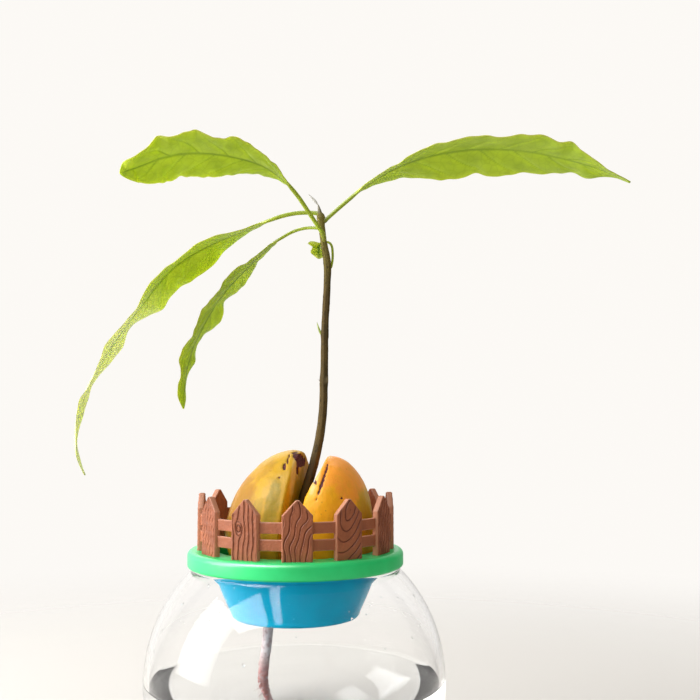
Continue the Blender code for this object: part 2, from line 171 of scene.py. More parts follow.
class Signal:
    """A number that a socket gives, which Python's operators carry on through Math nodes."""

    def __init__(self, paint: "Paint", socket: bpy.types.NodeSocket) -> None:
        """Wraps a socket of a paint's tree."""
        self.paint = paint
        self.socket = socket

    def math(self, operation: str, *others: "float | Signal", clamp: bool = False) -> "Signal":
        """Adds a Math node behind this number.

        Args:
            operation: The Math node's operation.
            others: The node's other numbers.
            clamp: Whether the result is held between 0 and 1.

        Returns:
            The result.
        """
        sockets = dict(enumerate((self, *others)))
        made = self.paint.node("ShaderNodeMath", {"operation": operation, "use_clamp": clamp}, sockets)
        return Signal(self.paint, made.outputs[0])

    def __add__(self, other: "float | Signal") -> "Signal":
        """The sum."""
        return self.math("ADD", other)

    def __sub__(self, other: "float | Signal") -> "Signal":
        """The difference."""
        return self.math("SUBTRACT", other)

    def __rsub__(self, first: float) -> "Signal":
        """The difference from a plain number."""
        made = self.paint.node("ShaderNodeMath", {"operation": "SUBTRACT"}, {0: first, 1: self})
        return Signal(self.paint, made.outputs[0])

    def __mul__(self, other: "float | Signal") -> "Signal":
        """The product."""
        return self.math("MULTIPLY", other)

    __radd__ = __add__
    __rmul__ = __mul__

    def held(self) -> "Signal":
        """The same number, held between 0 and 1."""
        return self.math("ADD", 0.0, clamp=True)

    def step(self, low: float, high: float) -> "Signal":
        """A straight step that rises from 0 at low to 1 at high."""
        return self.math("SUBTRACT", low).math("DIVIDE", high - low, clamp=True)


class Paint:
    """The node tree of one finish."""

    def __init__(self, name: str) -> None:
        """Starts a material with a plain shader."""
        self.material = bpy.data.materials.new(name)
        self.material.use_nodes = True
        self.tree = self.material.node_tree
        self.shader = self.tree.nodes["Principled BSDF"]
        self.place = self.node("ShaderNodeTexCoord").outputs["Object"]

    def node(
        self, kind: str, settings: dict[str, object] | None = None,
        sockets: dict[object, object] | None = None,
    ) -> bpy.types.Node:
        """Adds a node.

        Args:
            kind: The node's type.
            settings: The node's own settings, set first.
            sockets: The value or link of each input, by name or number.

        Returns:
            The node.
        """
        made = self.tree.nodes.new(kind)
        for name, value in (settings or {}).items():
            setattr(made, name, value)
        for name, value in (sockets or {}).items():
            self.feed(made.inputs[name], value)
        return made

    def feed(self, socket: bpy.types.NodeSocket, value: object) -> None:
        """Links a socket to what feeds it, or sets its value."""
        if isinstance(value, Signal):
            self.tree.links.new(value.socket, socket)
        elif isinstance(value, bpy.types.NodeSocket):
            self.tree.links.new(value, socket)
        elif isinstance(value, tuple) and socket.type == "RGBA":
            socket.default_value = (*value, 1.0)
        else:
            socket.default_value = value

    def mark(self, name: str) -> Signal:
        """A number that the piece's points carry."""
        made = self.node("ShaderNodeAttribute", {"attribute_name": name})
        return Signal(self, made.outputs["Fac"])

    def grain(self, size: float, detail: float = 3.0, stretch: Place = (1.0, 1.0, 1.0)) -> Signal:
        """Soft noise in space.

        Args:
            size: How far apart its lumps lie.
            detail: How many finer layers it has.
            stretch: How much longer its lumps are along each axis.

        Returns:
            A number from 0 to 1, mostly near a half.
        """
        scale = tuple(1 / (size * MM * long) for long in stretch)
        place = self.node("ShaderNodeMapping", {}, {"Vector": self.place, "Scale": scale}).outputs[0]
        made = self.node("ShaderNodeTexNoise", {}, {"Vector": place, "Scale": 1.0, "Detail": detail})
        return Signal(self, made.outputs["Fac"])

    def cells(self, size: float, feature: str = "DISTANCE_TO_EDGE") -> Signal:
        """A pattern of irregular cells.

        Args:
            size: How wide a cell is.
            feature: Whether to measure from the cells' walls or from their middles.

        Returns:
            The distance, as a share of a cell's width.
        """
        sockets = {"Vector": self.place, "Scale": 1 / (size * MM)}
        made = self.node("ShaderNodeTexVoronoi", {"feature": feature}, sockets)
        return Signal(self, made.outputs["Distance"])

    def mixed(self, share: Signal, first: object, second: object) -> bpy.types.NodeSocket:
        """A colour part of the way from one to another.

        Args:
            share: How far, from 0 to 1.
            first: The colour at 0.
            second: The colour at 1.

        Returns:
            The colour's socket.
        """
        return self.node("ShaderNodeMix", {"data_type": "RGBA"}, {0: share, 6: first, 7: second}).outputs[2]

    def relief(self, height: Signal, depth: float) -> bpy.types.NodeSocket:
        """The shader's normal over a fine relief, whose highest places stand a depth above its lowest."""
        return self.node("ShaderNodeBump", {}, {"Height": height, "Distance": depth * MM}).outputs[0]

    def wear(self, **sockets: object) -> bpy.types.Material:
        """Feeds the shader's inputs, whose names have _ for a space, and gives the material."""
        for name, value in sockets.items():
            self.feed(self.shader.inputs[name.replace("_", " ")], value)
        return self.material


class Sky(Paint):
    """The node tree of the light that comes from all round."""

    def __init__(self, name: str) -> None:
        """Starts a world with a plain background and makes it the scene's own."""
        world = bpy.data.worlds.new(name)
        world.use_nodes = True
        bpy.context.scene.world = world
        self.tree = world.node_tree
        self.background = self.tree.nodes["Background"]

    def toward(self, way: Vector) -> Signal:
        """How far each direction points along a way, from -1 to 1."""
        place_in = self.node("ShaderNodeTexCoord").outputs["Generated"]
        made = self.node("ShaderNodeVectorMath", {"operation": "DOT_PRODUCT"}, {0: place_in, 1: way})
        return Signal(self, made.outputs["Value"])


@dataclass(frozen=True)
class Clear:
    """Glass or water: clear, smooth and bending what is seen through it."""

    name: str
    tint: Colour
    bends: float

    def material(self) -> bpy.types.Material:
        """The finish, with no pattern."""
        return Paint(self.name).wear(
            Base_Color=self.tint, Roughness=0.0, IOR=self.bends, Transmission_Weight=1.0
        )


@dataclass(frozen=True)
class Moulded:
    """Moulded plastic with a faint skin and a little change of shade."""

    name: str
    colour: Colour
    shade: Colour
    roughness: float
    shine: float = 0.5
    skin: float = 0.04
    skin_size: float = 0.5

    def material(self) -> bpy.types.Material:
        """The finish, with drifts of shade and of gloss and a fine skin."""
        paint = Paint(self.name)
        drift = paint.grain(9.0, 2.0)
        fine = paint.grain(self.skin_size, 3.0)
        colour = paint.mixed(drift.step(0.3, 0.75), self.colour, self.shade)
        gloss = self.roughness + (fine - 0.5) * 0.15
        return paint.wear(
            Base_Color=colour, Roughness=gloss, Specular_IOR_Level=self.shine,
            Normal=paint.relief(fine, self.skin),
        )


@dataclass(frozen=True)
class Carved:
    """Brown plastic moulded like planed wood, with painted shade in its grooves and a painted highlight on
    its rounded edges.
    """

    name: str = "fence_plastic"
    colour: Colour = (0.37, 0.108, 0.042)
    shade: Colour = (0.28, 0.080, 0.030)
    # painted shade for the grooves
    groove: Colour = (0.085, 0.018, 0.008)
    # painted highlight for the rounded edges
    edge_highlight: Colour = (0.58, 0.25, 0.14)

    def material(self) -> bpy.types.Material:
        """The finish, reading the grooves and the edges from the piece's marks."""
        paint = Paint(self.name)
        fine = paint.grain(0.35, 4.0)
        drift = paint.grain(6.0, 3.0)
        colour = paint.mixed(drift.step(0.35, 0.7), self.colour, self.shade)
        # Painted shade: the grooves darken towards the groove colour.
        colour = paint.mixed((paint.mark("groove") * 0.75).held(), colour, self.groove)
        # Painted highlight along the rounded edges, broken up by fine noise.
        edge_highlight = paint.mark("edge") * (0.45 + fine * 0.5)
        colour = paint.mixed(edge_highlight.held(), colour, self.edge_highlight)
        gloss = 0.55 + (fine - 0.5) * 0.3
        return paint.wear(
            Base_Color=colour, Roughness=gloss, Specular_IOR_Level=0.35, Normal=paint.relief(fine, 0.10)
        )


@dataclass(frozen=True)
class SeedSkin:
    """The smooth cured skin of a seed half, with its flushes, streaks, bruises and scars."""

    name: str
    ochre: Colour
    flush: Colour
    olive: Colour
    scar: Colour = (0.055, 0.010, 0.012)
    scab: Colour = (0.20, 0.045, 0.045)
    cream: Colour = (0.78, 0.56, 0.22)

    def material(self) -> bpy.types.Material:
        """The finish, reading the places of the colours from the piece's marks."""
        paint = Paint(self.name)
        fine = paint.grain(0.8, 4.0)
        cloud = paint.grain(6.0, 4.0, stretch=(0.7, 0.7, 1.6))
        streak = paint.grain(3.2, 3.0, stretch=(0.6, 0.6, 4.0))
        flushed = (paint.mark("flush") + (cloud - 0.5) * 0.9).held()
        green = (paint.mark("olive") + (streak - 0.5) * 1.3 + (cloud - 0.5) * 0.5).held()
        colour = paint.mixed(flushed, self.ochre, self.flush)
        colour = paint.mixed(green, colour, self.olive)
        colour = paint.mixed((paint.mark("cream") * 0.8).held(), colour, self.cream)
        speck = paint.cells(2.6, "F1").step(0.16, 0.05) * paint.grain(7.0, 2.0).step(0.52, 0.62)
        colour = paint.mixed(speck * 0.35, colour, self.scar)
        scarred = (paint.mark("scar") + (fine - 0.5) * 0.7 * paint.mark("scar")).step(0.35, 0.65)
        patchy = paint.mixed(fine.step(0.40, 0.68), self.scar, self.scab)
        colour = paint.mixed(scarred, colour, patchy)
        gloss = 0.42 + (cloud - 0.5) * 0.25 + scarred * 0.2
        height = fine * 0.6 + cloud * 0.4 - scarred * 0.5
        return paint.wear(
            Base_Color=colour, Roughness=gloss, Normal=paint.relief(height, 0.16), Specular_IOR_Level=0.14,
            Subsurface_Weight=0.10, Subsurface_Radius=Vector((0.004, 0.002, 0.0008)),
        )


@dataclass(frozen=True)
class Bark:
    """The young stem's thin bark: brown below, olive to its top, with dark and pale flecks."""

    name: str
    brown: Colour
    dark: Colour
    olive: Colour
    pale: Colour = (0.32, 0.25, 0.14)

    def material(self) -> bpy.types.Material:
        """The finish, reading the heights and flecks from the piece's marks."""
        paint = Paint(self.name)
        fine = paint.grain(0.5, 4.0, stretch=(1.0, 1.0, 4.0))
        cloud = paint.grain(4.0, 3.0, stretch=(1.0, 1.0, 3.0))
        colour = paint.mixed(cloud.step(0.35, 0.7), self.brown, self.dark)
        green = (paint.mark("young") + (cloud - 0.5) * 0.5).held()
        colour = paint.mixed(green, colour, self.olive)
        colour = paint.mixed((fine.step(0.55, 0.75) * 0.5).held(), colour, self.dark)
        colour = paint.mixed(paint.mark("fleck").held(), colour, self.dark)
        colour = paint.mixed(paint.mark("scar").held(), colour, self.pale)
        gloss = 0.72 - green * 0.12 + (fine - 0.5) * 0.2
        return paint.wear(
            Base_Color=colour, Roughness=gloss, Specular_IOR_Level=0.15, Normal=paint.relief(fine, 0.14)
        )


@dataclass(frozen=True)
class Blade:
    """A young leaf: yellow-green, with darker veins, random deeper patches, painted shade in the troughs
    along the veins and a thin browned edge.
    """

    name: str = "leaf_blade"
    under: Colour = (0.80, 0.88, 0.075)
    over: Colour = (0.30, 0.42, 0.025)
    # deep is for random deeper patches and for painted shade in the troughs along the veins
    deep: Colour = (0.46, 0.61, 0.032)
    vein: Colour = (0.14, 0.25, 0.008)
    pale: Colour = (0.68, 0.77, 0.42)
    stalk: Colour = (0.32, 0.40, 0.026)
    join: Colour = (0.20, 0.17, 0.030)
    edge: Colour = (0.30, 0.26, 0.09)

    def material(self) -> bpy.types.Material:
        """The finish, reading the veins, the edge and the tail from the piece's marks."""
        paint = Paint(self.name)
        blade = 1 - paint.mark("stalk")
        mesh = paint.cells(1.3).step(0.11, 0.0) * blade
        ladder = paint.cells(3.4).step(0.09, 0.0) * blade
        cloud = paint.grain(7.0, 3.0)
        fine = paint.grain(0.7, 3.0)
        colour = paint.mixed(paint.mark("upper"), self.under, self.over)
        # Painted shade in the troughs along the veins (hollow), with random deeper patches (cloud).
        deepened_and_shaded = cloud.step(0.38, 0.72) * 0.55 + paint.mark("hollow") * 0.45
        colour = paint.mixed(deepened_and_shaded.held(), colour, self.deep)
        colour = paint.mixed((paint.mark("tail") * (0.8 + cloud * 0.4)).held(), colour, self.pale)
        colour = paint.mixed(mesh * 0.07, colour, self.vein)
        colour = paint.mixed(ladder * 0.22, colour, self.vein)
        colour = paint.mixed((paint.mark("vein") * 0.9).held(), colour, self.vein)
        colour = paint.mixed(paint.mark("stalk").held(), colour, self.stalk)
        colour = paint.mixed(paint.mark("joint"), colour, self.join)
        colour = paint.mixed((paint.mark("edge") * 0.7).held(), colour, self.edge)
        gloss = 0.45 + (fine - 0.5) * 0.2
        return paint.wear(
            Base_Color=colour, Roughness=gloss, Specular_IOR_Level=0.3,
            Subsurface_Weight=0.45, Subsurface_Scale=MM, Subsurface_Radius=Vector((2.4, 2.4, 0.9)),
        )


@dataclass(frozen=True)
class Husk:
    """Dry or budding tissue: one soft colour with fibres along it."""

    name: str
    colour: Colour
    tip: Colour
    roughness: float = 0.6

    def material(self) -> bpy.types.Material:
        """The finish, turning to its tip's colour along the piece."""
        paint = Paint(self.name)
        fibre = paint.grain(0.4, 3.0, stretch=(1.0, 1.0, 4.0))
        colour = paint.mixed((paint.mark("along") + (fibre - 0.5) * 0.4).held(), self.colour, self.tip)
        gloss = self.roughness + (fibre - 0.5) * 0.2
        return paint.wear(Base_Color=colour, Roughness=gloss, Normal=paint.relief(fibre, 0.06))


@dataclass(frozen=True)
class Studio:
    """The pale floor and backdrop."""

    name: str
    colour: Colour
    fades_from: float
    fades_to: float

    def material(self) -> bpy.types.Material:
        """A matt finish that thins out with distance, so that the floor has no edge."""
        paint = Paint(self.name)
        out = paint.node("ShaderNodeVectorMath", {"operation": "LENGTH"}, {0: paint.place}).outputs["Value"]
        gone = Signal(paint, out).step(self.fades_from * MM, self.fades_to * MM)
        return paint.wear(Base_Color=self.colour, Roughness=0.9, Alpha=1 - gone * gone * (3 - 2 * gone))


@dataclass
class Form:
    """Points in millimetres, the faces between them and named numbers that the points carry."""

    points: np.ndarray
    faces: list[tuple[int, ...]]
    marks: dict[str, np.ndarray] = field(default_factory=dict)

    @staticmethod
    def sheet_faces(rows: int, columns: int, closed: bool, start: int = 0) -> list[tuple[int, ...]]:
        """The faces of a grid of points.

        Args:
            rows: How many rows it has.
            columns: How many points a row has.
            closed: Whether each row's end meets its start.
            start: The first point's number.

        Returns:
            The faces.
        """
        faces = []
        for row in range(rows - 1):
            low, high = start + row * columns, start + (row + 1) * columns
            for i in range(columns if closed else columns - 1):
                j = (i + 1) % columns
                faces.append((low + i, low + j, high + j, high + i))
        return faces

    @classmethod
    def turned(cls, profile: Sequence[Pair], steps: int, closed: bool = False) -> "Form":
        """A form turned round the axis.

        Args:
            profile: Its points, each a distance out and a height. Those on the axis close to one point.
            steps: How many points lie round it.
            closed: Whether the profile's end meets its start, as on a ring.

        Returns:
            The form.
        """
        turns = np.arange(steps) * 2 * pi / steps
        east, north, level = np.cos(turns), np.sin(turns), np.ones(steps)
        rings = [np.stack([out * east, out * north, up * level], 1) for out, up in profile]
        rows = rings + rings[:1] if closed else rings
        return cls(np.concatenate(rows), cls.sheet_faces(len(rows), steps, True))

    @classmethod
    def limb(cls, line: np.ndarray, radii: np.ndarray, sides: int) -> "Form":
        """A round limb along a line, with closed ends and marks of how far along and round each point is.

        Args:
            line: The centre line's points.
            radii: The limb's radius at each.
            sides: How many points lie round it.

        Returns:
            The form, with the marks along and round.
        """
        ways = np.gradient(line, axis=0)
        ways /= np.linalg.norm(ways, axis=1)[:, None]
        side = np.cross(ways, (0.0, 1.0, 0.0))
        side /= np.linalg.norm(side, axis=1)[:, None]
        other = np.cross(ways, side)
        turns = np.arange(sides) * 2 * pi / sides
        spokes = side[:, None] * np.cos(turns)[None, :, None] + other[:, None] * np.sin(turns)[None, :, None]
        rings = line[:, None] + spokes * radii[:, None, None]
        points = np.concatenate([rings.reshape(-1, 3), line[:1], line[-1:]])
        faces = cls.sheet_faces(len(line), sides, True)
        first, last, top = len(points) - 2, len(points) - 1, (len(line) - 1) * sides
        for i in range(sides):
            j = (i + 1) % sides
            faces += [(first, j, i), (last, top + i, top + j)]
        along = np.append(np.repeat(np.linspace(0, 1, len(line)), sides), (0.0, 1.0))
        around = np.append(np.tile(turns, len(line)), (0.0, 0.0))
        return cls(points, faces, {"along": along, "round": around})

    @staticmethod
    def middles(line: np.ndarray, sides: int) -> np.ndarray:
        """The place on the centre line that each of a limb's points stands round."""
        return np.vstack([np.repeat(line, sides, 0), line[:1], line[-1:]])

    @classmethod
    def slab(
        cls, across: np.ndarray, along: np.ndarray, half: np.ndarray, front: Rule, back: Rule
    ) -> "Form":
        """A board whose front and back are grids with their own relief.

        Args:
            across: The columns' places, from -1 at one side to 1 at the other.
            along: The rows' places up the board.
            half: Half the board's width at each row.
            front: How far the front stands out at each place across and along.
            back: The same for the back, below the middle.

        Returns:
            The form, lying in the XZ plane with its front towards -Y.
        """
        x = across[None, :] * half[:, None]
        z = np.repeat(along[:, None], len(across), 1)
        faces_out = [np.stack([x, -front(x, z), z], -1), np.stack([x, back(x, z), z], -1)]
        points = np.concatenate([side.reshape(-1, 3) for side in faces_out])
        rows, columns = z.shape
        size = rows * columns
        faces = cls.sheet_faces(rows, columns, False) + cls.sheet_faces(rows, columns, False, size)
        rim = list(range(columns))
        rim += [row * columns + columns - 1 for row in range(1, rows)]
        rim += [size - 1 - i for i in range(1, columns)]
        rim += [(rows - 1 - row) * columns for row in range(1, rows - 1)]
        for i, here in enumerate(rim):
            there = rim[(i + 1) % len(rim)]
            faces.append((here, there, there + size, here + size))
        return cls(points, faces)

    @classmethod
    def together(cls, forms: Sequence["Form"]) -> "Form":
        """Several forms as one, each mark that a form lacks being 0 there."""
        names = sorted({name for form in forms for name in form.marks})
        faces, start = [], 0
        for form in forms:
            faces += [tuple(i + start for i in face) for face in form.faces]
            start += len(form.points)
        marks = {
            name: np.concatenate([form.marks.get(name, np.zeros(len(form.points))) for form in forms])
            for name in names
        }
        return cls(np.concatenate([form.points for form in forms]), faces, marks)

    def moved(self, matrix: Matrix) -> "Form":
        """The form turned and shifted by a matrix in millimetres."""
        turn = np.array(matrix)
        return Form(self.points @ turn[:3, :3].T + turn[:3, 3], self.faces, self.marks)

    def piece(self, name: str, sharp: float = SHARP_OVER) -> bpy.types.Object:
        """The form as an object in metres, shaded smooth where its faces meet at a small angle.

        Args:
            name: The object's name.
            sharp: The angle between faces from which an edge stays sharp.

        Returns:
            The object.
        """
        data = bpy.data.meshes.new(name)
        data.from_pydata((self.points * MM).tolist(), [], self.faces)
        carry(data, self.marks)
        bm = bmesh.new()
        bm.from_mesh(data)
        bmesh.ops.remove_doubles(bm, verts=bm.verts, dist=SAME_WITHIN * MM)
        bmesh.ops.recalc_face_normals(bm, faces=bm.faces)
        bm.to_mesh(data)
        bm.free()
        data.shade_smooth()
        data.set_sharp_from_angle(angle=radians(sharp))
        return shown(name, data)


def arc(centre: Pair, radius: float, start: float, end: float, count: int) -> list[Pair]:
    """Points along an arc in a turned form's profile.

    Args:
        centre: The arc's centre, as a distance out and a height.
        radius: Its radius.
        start: The first point's angle from the level.
        end: The last point's angle.
        count: How many points.

    Returns:
        The points.
    """
    angles = [radians(start + (end - start) * i / (count - 1)) for i in range(count)]
    return [(centre[0] + radius * cos(a), centre[1] + radius * sin(a)) for a in angles]


def smooth_line(knots: Sequence[Knot], steps: int) -> tuple[np.ndarray, np.ndarray]:
    """A smooth curve through a limb's knots.

    Args:
        knots: Each knot's place and the limb's radius there.
        steps: How many points lie between two knots.

    Returns:
        The curve's points and the radius at each.
    """
    data = bpy.data.curves.new("line", "CURVE")
    data.dimensions = "3D"
    data.resolution_u = steps
    spline = data.splines.new("BEZIER")
    spline.bezier_points.add(len(knots) - 1)
    for knot, (x, y, z, _) in zip(spline.bezier_points, knots):
        knot.co = (x, y, z)
        knot.handle_left_type = knot.handle_right_type = "AUTO"
    curve = shown("line", data)
    seen = curve.evaluated_get(bpy.context.evaluated_depsgraph_get())
    line = np.array([vertex.co[:] for vertex in seen.to_mesh().vertices])
    bpy.data.objects.remove(curve, do_unlink=True)
    at = np.linspace(0, len(knots) - 1, len(line))
    radii = np.interp(at, range(len(knots)), [knot[3] for knot in knots])
    return line, radii


def place(piece: bpy.types.Object, finish: bpy.types.Material, slot: str, *nodes: str) -> None:
    """Finishes a piece and hangs it on the body in place of the solids it stands for.

    Args:
        piece: The piece.
        finish: Its material.
        slot: The record's slot that its finish is for. It is not used.
        nodes: The solids that it stands for.
    """
    piece.data.materials.clear()
    piece.data.materials.append(finish)
    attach(piece, BODY)
    if nodes:
        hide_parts(*nodes)
    stands_for = ", ".join(nodes) or "nothing"
    logging.info("%s: %d faces, in place of %s", piece.name, len(piece.data.polygons), stands_for)


@dataclass
class GlassBowl:
    """The round bowl, the water in it and the drops on its inner wall."""

    centre: float = 50.0
    wall: float = 2.0
    floor: float = 3.0
    water_gap: float = 0.3
    overlap: float = 0.05
    foot_round: float = 1.5
    punt: float = 0.8
    mouth: float = 93.2
    water_level: float = 49.5
    meniscus: float = 1.1
    meniscus_reach: float = 3.5
    ripple: float = 0.10
    steps: int = 192
    wall_points: int = 70
    curl_points: int = 14
    drops: int = 150
    drops_span: float = 28.0
    seed: int = 7
    bends: float = 1.2

    def radius(self) -> float:
        """The bowl's radius, held inside the solid's facets."""
        low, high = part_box("bowl")
        return min(high.x - low.x, high.y - low.y) / 2 / MM

    def inner(self) -> float:
        """The radius of the bowl's inner wall, where the water meets it."""
        return self.radius() - self.wall - self.water_gap - self.overlap

    def angle(self, height: float, radius: float) -> float:
        """The angle from the level of the wall at a height."""
        return float(np.degrees(np.arcsin((height - self.centre) / radius)))

    def wall_arc(self, radius: float, start: float, end: float) -> list[Pair]:
        """Points on a wall from one height to another."""
        turns = self.angle(start, radius), self.angle(end, radius)
        return arc((0.0, self.centre), radius, *turns, self.wall_points)

    def bowl(self) -> Form:
        """The blown glass, from its floor up the inner wall, over the lip and down to its foot."""
        outer, inner = self.radius(), self.inner()
        floor = self.floor + self.water_gap + self.overlap
        lip = self.wall / 2
        top = self.mouth - lip
        inside = self.wall_arc(inner, floor, top)
        outside = self.wall_arc(outer, top, self.foot_round)
        half = (outside[0][0] - inside[-1][0]) / 2
        rim = arc((inside[-1][0] + half, top), half, 165, 15, 9)
        rim = [(out, top + (up - top) * lip / half) for out, up in rim]
        edge = outside[-1][0]
        heel = arc((edge - self.foot_round, self.foot_round), self.foot_round, 0, -90, 7)
        shares = (0.85, 0.6, 0.35, 0.15, 0.0)
        hollow = [(edge * share, self.punt * (1 - (share / shares[0]) ** 2)) for share in shares]
        return Form.turned([(0.0, floor), *inside, *rim, *outside, *heel, *hollow], self.steps)

    def water(self) -> Form:
        """The water, drawn up a little where it meets the glass and faintly rippled."""
        radius = self.inner() + self.overlap
        floor = self.floor + self.water_gap
        edge = sqrt(radius**2 - (self.water_level + self.meniscus - self.centre) ** 2)
        flat = np.linspace(0.0, edge - self.meniscus_reach, self.wall_points)
        curl = edge - self.meniscus_reach * (1 - np.linspace(0, 1, self.curl_points)[1:])
        outs = np.concatenate([flat, curl])
        rise = self.meniscus * np.clip(1 - (edge - outs) / self.meniscus_reach, 0, 1) ** 3
        top = [(out, self.water_level + up) for out, up in zip(outs, rise)]
        side = self.wall_arc(radius, self.water_level + self.meniscus, floor)
        form = Form.turned([*top, *side[1:], (0.0, floor)], self.steps)
        x, y = form.points[:, 0], form.points[:, 1]
        wave = np.sin(x / 5 + 1.3 * np.sin(y / 9)) + np.sin(y / 6 - x / 11)
        on_top = form.points[:, 2] > self.water_level - 0.01
        form.points[:, 2] += self.ripple * wave * on_top * smooth(edge, edge - 8, np.hypot(x, y))
        return form

    def drop(self, place_at: Vector, away: Vector, radius: float, flat: float) -> Form:
        """A drop on a wall.

        Args:
            place_at: Where its middle is.
            away: The direction that it stands out in.
            radius: Its radius.
            flat: Its height as a share of its radius.

        Returns:
            The form.
        """
        profile = [(radius * cos(a), radius * flat * sin(a)) for a in np.linspace(-pi / 2, pi / 2, 9)]
        turn = away.to_track_quat("Z", "Y").to_matrix().to_4x4()
        return Form.turned(profile, 14).moved(Matrix.Translation(place_at) @ turn)

    def dew(self) -> Form:
        """Drops on the inner wall above the water, thickest near the mouth."""
        draw = random.Random(self.seed)
        inner = self.inner() + self.wall * 0.04
        forms = []
        for _ in range(self.drops):
            turn = draw.uniform(0, 2 * pi)
            height = self.mouth - 3 - self.drops_span * draw.random() ** 1.6
            out = sqrt(inner**2 - (height - self.centre) ** 2)
            spot = Vector((out * cos(turn), out * sin(turn), height))
            away = (Vector((0, 0, self.centre)) - spot).normalized()
            forms.append(self.drop(spot, away, 0.18 + 0.5 * draw.random() ** 4, draw.uniform(0.5, 0.9)))
        return Form.together(forms)

    def dress(self) -> None:
        """Makes the bowl, the water and the drops."""
        glass = Clear("bowl_glass", (1.0, 1.0, 1.0), self.bends).material()
        water = Clear("bowl_water", (0.99, 1.0, 1.0), self.bends).material()
        place(self.bowl().piece("glass_bowl"), glass, "bowl_glass", "bowl")
        place(self.water().piece("bowl_of_water"), water, "water", "water")
        place(self.dew().piece("dew_on_the_glass"), water, "water")


@dataclass
class Holder:
    """The green disc and the blue cup that hold the seed over the bowl."""

    disc_top: float = 100.0
    disc_thick: float = 6.5
    disc_hole: float = 31.5
    round_top: float = 2.0
    round_foot: float = 1.0
    round_hole: float = 0.6
    grass: float = 0.16
    flange: float = 36.0
    flange_thick: float = 1.6
    neck: float = 31.8
    cup_top: float = 30.6
    cup_top_level: float = 88.0
    cup_foot: float = 25.4
    cup_foot_level: float = 73.5
    cup_round: float = 2.0
    cup_wall: float = 1.8
    cup_bow: float = 1.15
    seat_gap: float = 0.3
    flange_round: float = 0.4
    neck_round: float = 0.5
    root_hole: float = 4.4
    root_hole_x: float = -10.3
    root_hole_depth: float = 8.0
    steps: int = 240

    def disc(self) -> Form:
        """The disc, with round edges and a faint grassy relief on top."""
        low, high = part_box("holder_disc")
        radius = (high.y - low.y) / 2 / MM
        foot = self.disc_top - self.disc_thick
        top = arc((radius - self.round_top, self.disc_top - self.round_top), self.round_top, 90, 0, 12)
        under = arc((radius - self.round_foot, foot + self.round_foot), self.round_foot, 0, -90, 8)
        hole = self.disc_hole + self.round_hole
        lip = arc((hole, self.disc_top - self.round_hole), self.round_hole, 180, 90, 6)
        flat = [(out, self.disc_top) for out in np.linspace(hole, radius - self.round_top, 44)[1:-1]]
        profile = [(self.disc_hole, foot), *lip, *flat, *top, *under]
        form = Form.turned(profile, self.steps * 2, closed=True)
        out = np.hypot(form.points[:, 0], form.points[:, 1])
        level = (form.points[:, 2] > self.disc_top - 0.01) * smooth(radius - 1.5, radius - 3.5, out)
        plan = form.points * (1, 1, 0)
        blades = np.abs(lumps(plan, 1.3)) + 0.5 * np.abs(lumps(plan, 0.6, 5.0))
        form.points[:, 2] -= self.grass * level * np.clip(blades, 0, 1)
        return form

    def cup_profile(self) -> list[Pair]:
        """The cup's wall from its inner floor round the flange to its foot."""
        top = self.disc_top - self.disc_thick - self.seat_gap
        under = top - self.flange_thick
        foot_end = self.cup_foot_level + self.cup_round
        drops = np.linspace(0, 1, 24)
        outs = self.cup_top + (self.cup_foot - self.cup_top) * drops**self.cup_bow
        levels = self.cup_top_level + (foot_end - self.cup_top_level) * drops
        wall = list(zip(outs.tolist(), levels.tolist()))
        corner = arc((self.cup_foot - self.cup_round, foot_end), self.cup_round, -12, -90, 10)
        floor = self.cup_foot_level + self.cup_wall
        inner = [(out - self.cup_wall, max(level, floor + 0.5)) for out, level in reversed(wall)]
        inner = [(0.0, floor), (self.cup_foot - 2 * self.cup_wall, floor), *inner]
        edge, bend = self.flange_round, self.neck_round
        collar = [(self.neck - self.cup_wall, top), *arc((self.flange - edge, top - edge), edge, 90, 0, 5)]
        collar += [*arc((self.flange - edge, under + edge), edge, 0, -90, 5), (self.neck + bend, under)]
        collar += arc((self.neck + bend, under - bend), bend, 90, 180, 5)
        return [*inner, *collar, *wall, *corner, (0.0, self.cup_foot_level)]

    def drill(self, cup: bpy.types.Object) -> None:
        """Opens the hole that the root passes through in the cup's floor."""
        bm = bmesh.new()
        radius = self.root_hole * MM
        bmesh.ops.create_cone(
            bm, cap_ends=True, segments=64, radius1=radius, radius2=radius, depth=self.root_hole_depth * MM
        )
        data = bpy.data.meshes.new("root_hole")
        bm.to_mesh(data)
        bm.free()
        tool = shown("root_hole", data)
        tool.location = (self.root_hole_x * MM, 0.0, self.cup_foot_level * MM)
        cut = cup.modifiers.new("Hole", "BOOLEAN")
        cut.object = tool
        drilled = applied(cup)
        cup.modifiers.remove(cut)
        cup.data = drilled
        bpy.data.objects.remove(tool, do_unlink=True)

    def dress(self) -> None:
        """Makes the disc and the cup."""
        green = Moulded("disc_plastic", (0.010, 0.74, 0.20), (0.004, 0.64, 0.155), 0.36, 0.8).material()
        blue = Moulded("cup_plastic", (0.002, 0.46, 0.74), (0.002, 0.38, 0.64), 0.24, 0.1, 0.02).material()
        place(self.disc().piece("green_disc"), green, "disc_green", "holder_disc")
        cup = Form.turned(self.cup_profile(), self.steps).piece("blue_cup")
        self.drill(cup)
        place(cup, blue, "cup_blue", "holder_cup")


KNOT_AT = (-2.3, 12.5)
KNOT_SIZE = (1.45, 2.6)
NEST_TOP = 18.0


